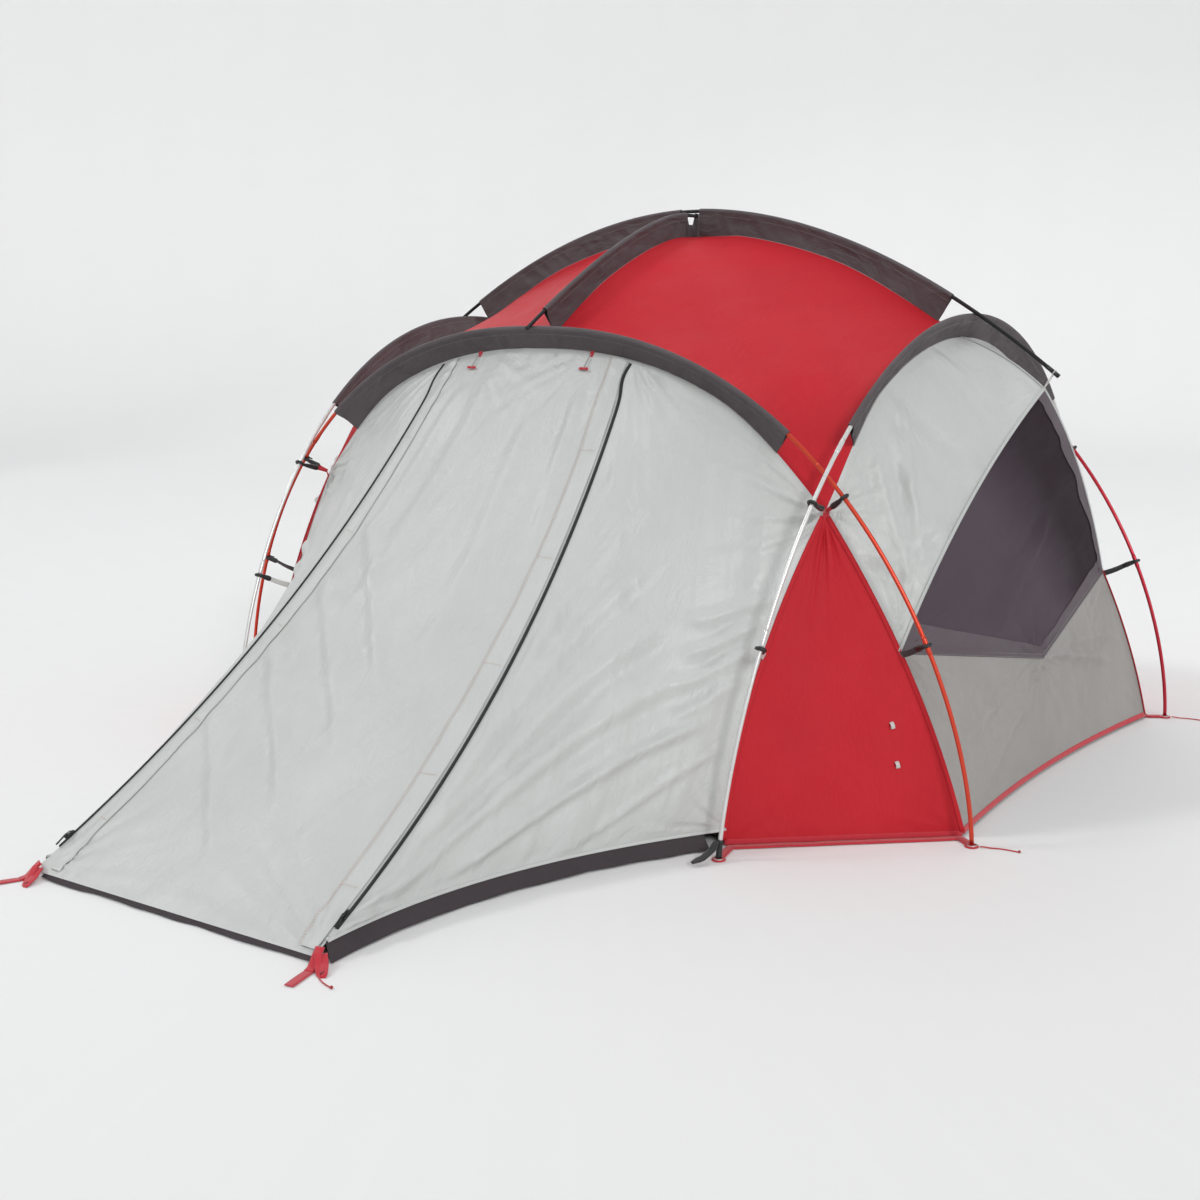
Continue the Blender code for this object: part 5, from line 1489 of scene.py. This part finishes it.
STAKE_TAB = 0.075
STAKE_TAB_OUT = {"right": (0.26, -0.97), "left": (-0.42, -0.91)}
for side, stake in STAKES.items():
    away = unit(STAKE_TAB_OUT[side])
    start = np.array(stake) + away * 0.034
    path = np.array([(*(start + away * STAKE_TAB * f), 0.0) for f in np.linspace(0, 1, 5)])
    ground_strap(f"stake_{side}", path, f"stake_tab_{side}", 21, thick=0.003)
    riser = np.array([(*(np.array(stake) + away * d), z)
                      for d, z in ((0.004, 0.034), (0.018, 0.022), (0.034, 0.006),
                                   (0.046, 0.0032))])
    riser = laid_ribbon(resample(riser, 16), (*away, 1.0), 0.0095, 0.0011)
    add_mesh(f"stake_riser_{side}", riser, "strap")

STAKE_LOOP, STAKE_LOOP_OUT = 0.058, {"right": (0.72, -0.69), "left": (0.38, -0.92)}
for side, stake in STAKES.items():
    away = unit(STAKE_LOOP_OUT[side])
    beside = np.array([-away[1], away[0]])
    loop = [(*(np.array(stake) + away * d + beside * b), z)
            for d, b, z in ((0.002, -0.004, 0.030), (0.016, -0.006, 0.026),
                            (STAKE_LOOP * 0.62, -0.006, 0.012), (STAKE_LOOP, -0.003, 0.0042),
                            (STAKE_LOOP + 0.006, 0.004, 0.0050),
                            (STAKE_LOOP * 0.60, 0.006, 0.0130), (0.012, 0.004, 0.0240))]
    loop = laid_ribbon(resample(np.array(loop), 40), (*away, 1.0), 0.0070, 0.0010)
    add_mesh(f"stake_loop_{side}", loop, "strap")

# black boots on the side hoops' feet, with a short tail of webbing
for label, sx, sy in ALL_CORNERS:
    flank = label.split("_")[1]
    centre = ordered(LINES[flank][0], (*foot_of(flank, sx, sy), 0))
    boot = resample(centre, 12, 0.0, length(centre) - 0.040)
    add_mesh(f"foot_boot_{label}", pipe_mesh(boot, np.linspace(0.0072, 0.0060, 12)), "clip")
    foot = centre[0]
    tail_line = resample(np.array([foot + (0, sy * 0.008, 0.040),
                                   foot + (-sx * 0.004, sy * 0.020, 0.022),
                                   foot + (-sx * 0.012, sy * 0.044, 0.009),
                                   foot + (-sx * 0.022, sy * 0.072, 0.0045)]), 20)
    widths = np.interp(np.linspace(0, 1, 20), [0, 0.2, 0.8, 1], [0.006, 0.0085, 0.0075, 0.003])
    add_mesh(f"foot_tail_{label}", laid_ribbon(tail_line, (0, sy, 1.0), widths, 0.0018),
             "black_strap")

# ties from the ridge pole's tips to the brow
for flank, sx in FLANKS:
    tip = ridge_x(np.array([sx * (RIDGE_TIP_X - 0.012)]))[0]
    peak = np.array([sx * BROW_TIP[0], 0.0, BROW_TIP[1]])
    f = np.linspace(0, 1, 20)[:, None]
    strands = [pipe_mesh(peak + (tip - peak) * f + np.array([0, s, 0]) * 0.006
                         * np.sin(math.pi * f), 0.0012, 8) for s in (-1, 1)]
    turns = [tip + 0.0066 * (math.cos(a) * np.array([0, 1.0, 0]) + math.sin(a)
                             * np.array([0.55 * sx, 0, 0.83])) for a in np.linspace(0, 12.5, 50)]
    strands.append(pipe_mesh(np.array(turns), 0.0012, 8))
    add_mesh(f"brow_tie_{flank}", joined(strands), "white_cord")

# ---- floor and inner wall --------------------------------------------------------
FLOOR_FRONT, FLOOR_SIDE = (0.715, 0.925), (1.075, 0.595)
fx, fy = FLOOR_FRONT
gx, gy = FLOOR_SIDE


def floor_half(y):
    """The groundsheet's half width at one y."""
    return gx if abs(y) <= gy else gx + (fx - gx) * (abs(y) - gy) / (fy - gy)


rows = []
for y in np.linspace(-fy, fy, 91):
    half = floor_half(y)
    rows.append([(x, y, 0.0) for x in np.linspace(-half, half, 107)])
grid = np.array(rows)
s, t = metric(grid)
wave = value_noise(s / 0.11, t / 0.17, 700) + 0.6 * value_noise(s / 0.05, t / 0.09, 701)
grid[..., 2] = 0.0022 + 0.0011 * (1.6 + wave) * 0.5
cloth("groundsheet", grid, "floor", "floor")

WALL_BASE_Y, WALL_TOP_Y, WALL_TOP_Z, WALL_BASE_Z = -0.850, -0.570, 1.020, 0.012
WALL_HALF_LOW, WALL_HALF_HIGH, WALL_SHOULDER = 0.690, 0.715, 0.60
DOORWAY_HALF, DOORWAY_LOW, DOORWAY_SHOULDER, DOORWAY_HIGH = 0.330, 0.10, 0.58, 0.84


def wall_point(x, f):
    """A point of the leaning inner wall at one x and a share of its height."""
    return np.array([x, WALL_BASE_Y + (WALL_TOP_Y - WALL_BASE_Y) * f,
                     WALL_BASE_Z + (WALL_TOP_Z - WALL_BASE_Z) * f])


def outline_of(half_low, half_high, low, shoulder, high):
    """Up the right edge, over an arch and down the left one, as (x, share of height)."""
    pts = [(x, low) for x in np.linspace(-half_low, half_low, 17)]
    pts += [(half_low + (half_high - half_low) * k / 9, low + (shoulder - low) * k / 9)
            for k in range(1, 9)]
    pts += [(half_high * math.cos(a), shoulder + (high - shoulder) * math.sin(a))
            for a in np.linspace(0, math.pi, 41)]
    pts += [(-half_low - (half_high - half_low) * k / 9, low + (shoulder - low) * k / 9)
            for k in range(8, 0, -1)]
    return pts


outer = np.array([wall_point(*p) for p in outline_of(WALL_HALF_LOW, WALL_HALF_HIGH, 0.0,
                                                     WALL_SHOULDER, 1.0)])
inner = np.array([wall_point(*p) for p in outline_of(DOORWAY_HALF * 0.9, DOORWAY_HALF,
                                                     DOORWAY_LOW, DOORWAY_SHOULDER,
                                                     DOORWAY_HIGH)])
outer, inner = (np.concatenate([line, line[:1]]) for line in (outer, inner))
f = np.linspace(0, 1, 25)[:, None, None]
grid = outer[None] * (1 - f) + inner[None] * f
s, t = metric(grid)
lift = 0.004 * value_noise(s / 0.10, t / 0.3, 710) * smooth(t / 0.05) * smooth(
    (t[-1] - t) / 0.04)
grid = grid + lift[..., None] * unit((0, -0.95, 0.25))
cloth("inner_wall", grid, "inner", "inner_front_wall")
add_mesh("doorway_zip_tape", laid_ribbon(inner, (0, -1.0, 0.27), 0.009, 0.0009, lift=0.001),
         "tape")


# ---- small loops on the fly ------------------------------------------------------
def guy_loop(name, surface, u, v, outward):
    """A small folded tab sewn to the fly."""
    spot = at_uv(surface, u, v)
    down = unit(at_uv(surface, u, min(1.0, v + 0.03)) - spot)
    out = unit(outward - np.dot(outward, down) * down)
    line = np.array([spot + out * 0.001, spot + out * 0.006 + down * 0.004,
                     spot + out * 0.008 + down * 0.010, spot + out * 0.005 + down * 0.015,
                     spot + out * 0.0015 + down * 0.012])
    line = resample(line, 16)
    side = np.tile(np.cross(down, out), (16, 1))
    add_mesh(name, ribbon_mesh(line, side, np.cross(side, tangents(line)), 0.0045, 0.0007),
             "white_strap", slot="grey_fabric")


for label, sx, sy in ALL_CORNERS:
    outward = unit((sx, sy, 0.2))
    guy_loop(f"loop_low_{label}", CORNERS[label], 0.80, 0.66, outward)
    guy_loop(f"loop_high_{label}", CORNERS[label], 0.78, 0.78, outward)

# ---- studio floor and light ----------------------------------------------------------------
ground = Nodes("studio_floor", 0.9)
shade = ground.noise(ground.uv(), 0.6, 2.0)
ground_mat = ground.finish(ground.mix(shade, (0.80, 0.80, 0.80), (0.84, 0.84, 0.84)))
SWEEP_FLAT, SWEEP_BEND, SWEEP_WALL, SPOKES = 9.0, 3.5, 1.6, 96
turns = [(SWEEP_FLAT * k / 6, 0.0) for k in range(7)]
turns += [(SWEEP_FLAT + SWEEP_BEND * math.sin(a), SWEEP_BEND * (1 - math.cos(a)))
          for a in np.linspace(0, math.pi / 2, 19)[1:]]
turns.append((SWEEP_FLAT + SWEEP_BEND, SWEEP_BEND + SWEEP_WALL))
verts = [(0.0, 0.0, 0.0)] + [(r * math.cos(a), r * math.sin(a), z) for r, z in turns[1:]
                             for a in np.linspace(0, 2 * math.pi, SPOKES, endpoint=False)]
faces = [(0, 1 + k, 1 + (k + 1) % SPOKES) for k in range(SPOKES)]
faces += [(1 + r * SPOKES + k, 1 + (r + 1) * SPOKES + k, 1 + (r + 1) * SPOKES + (k + 1) % SPOKES,
           1 + r * SPOKES + (k + 1) % SPOKES) for r in range(len(turns) - 2)
          for k in range(SPOKES)]
mesh = bpy.data.meshes.new("studio_floor")
mesh.from_pydata(verts, [], faces)
mesh.polygons.foreach_set("use_smooth", [True] * len(mesh.polygons))
mesh.uv_layers.new(name="UVMap")
mesh.materials.append(ground_mat)
floor = placed("studio_floor", mesh)


def add_light(name, kind, toward, power, at=(0, 0, 0), **settings):
    """A light that shines toward a direction."""
    data = bpy.data.lights.new(name, kind)
    data.energy = power
    for key, value in settings.items():
        setattr(data, key, value)
    light = placed(name, data)
    light.location = at
    light.rotation_euler = Vector(toward).to_track_quat("-Z", "Y").to_euler()


add_light("key", "SUN", (0.60, 0.40, -0.75), 0.58, angle=0.16)
add_light("fill", "SUN", (-0.75, 0.45, -0.50), 1.10, angle=0.24)
add_light("rim", "SUN", (0.60, -0.60, -0.50), 0.58, angle=0.80)
add_light("top", "AREA", (-0.6, -1.2, -5.0), 30, at=(0.6, 1.6, 5.6), size=3.0)
world = bpy.data.worlds.new("studio")
world.use_nodes = True
sky = world.node_tree.nodes["Background"]
sky.inputs["Color"].default_value = (0.98, 0.99, 1.0, 1.0)
sky.inputs["Strength"].default_value = 0.60
SCENE.world = world
SCENE.view_settings.view_transform = "Standard"


def plain(box):
    """A box as plain lists of numbers."""
    return [[float(x) for x in corner] for corner in box]
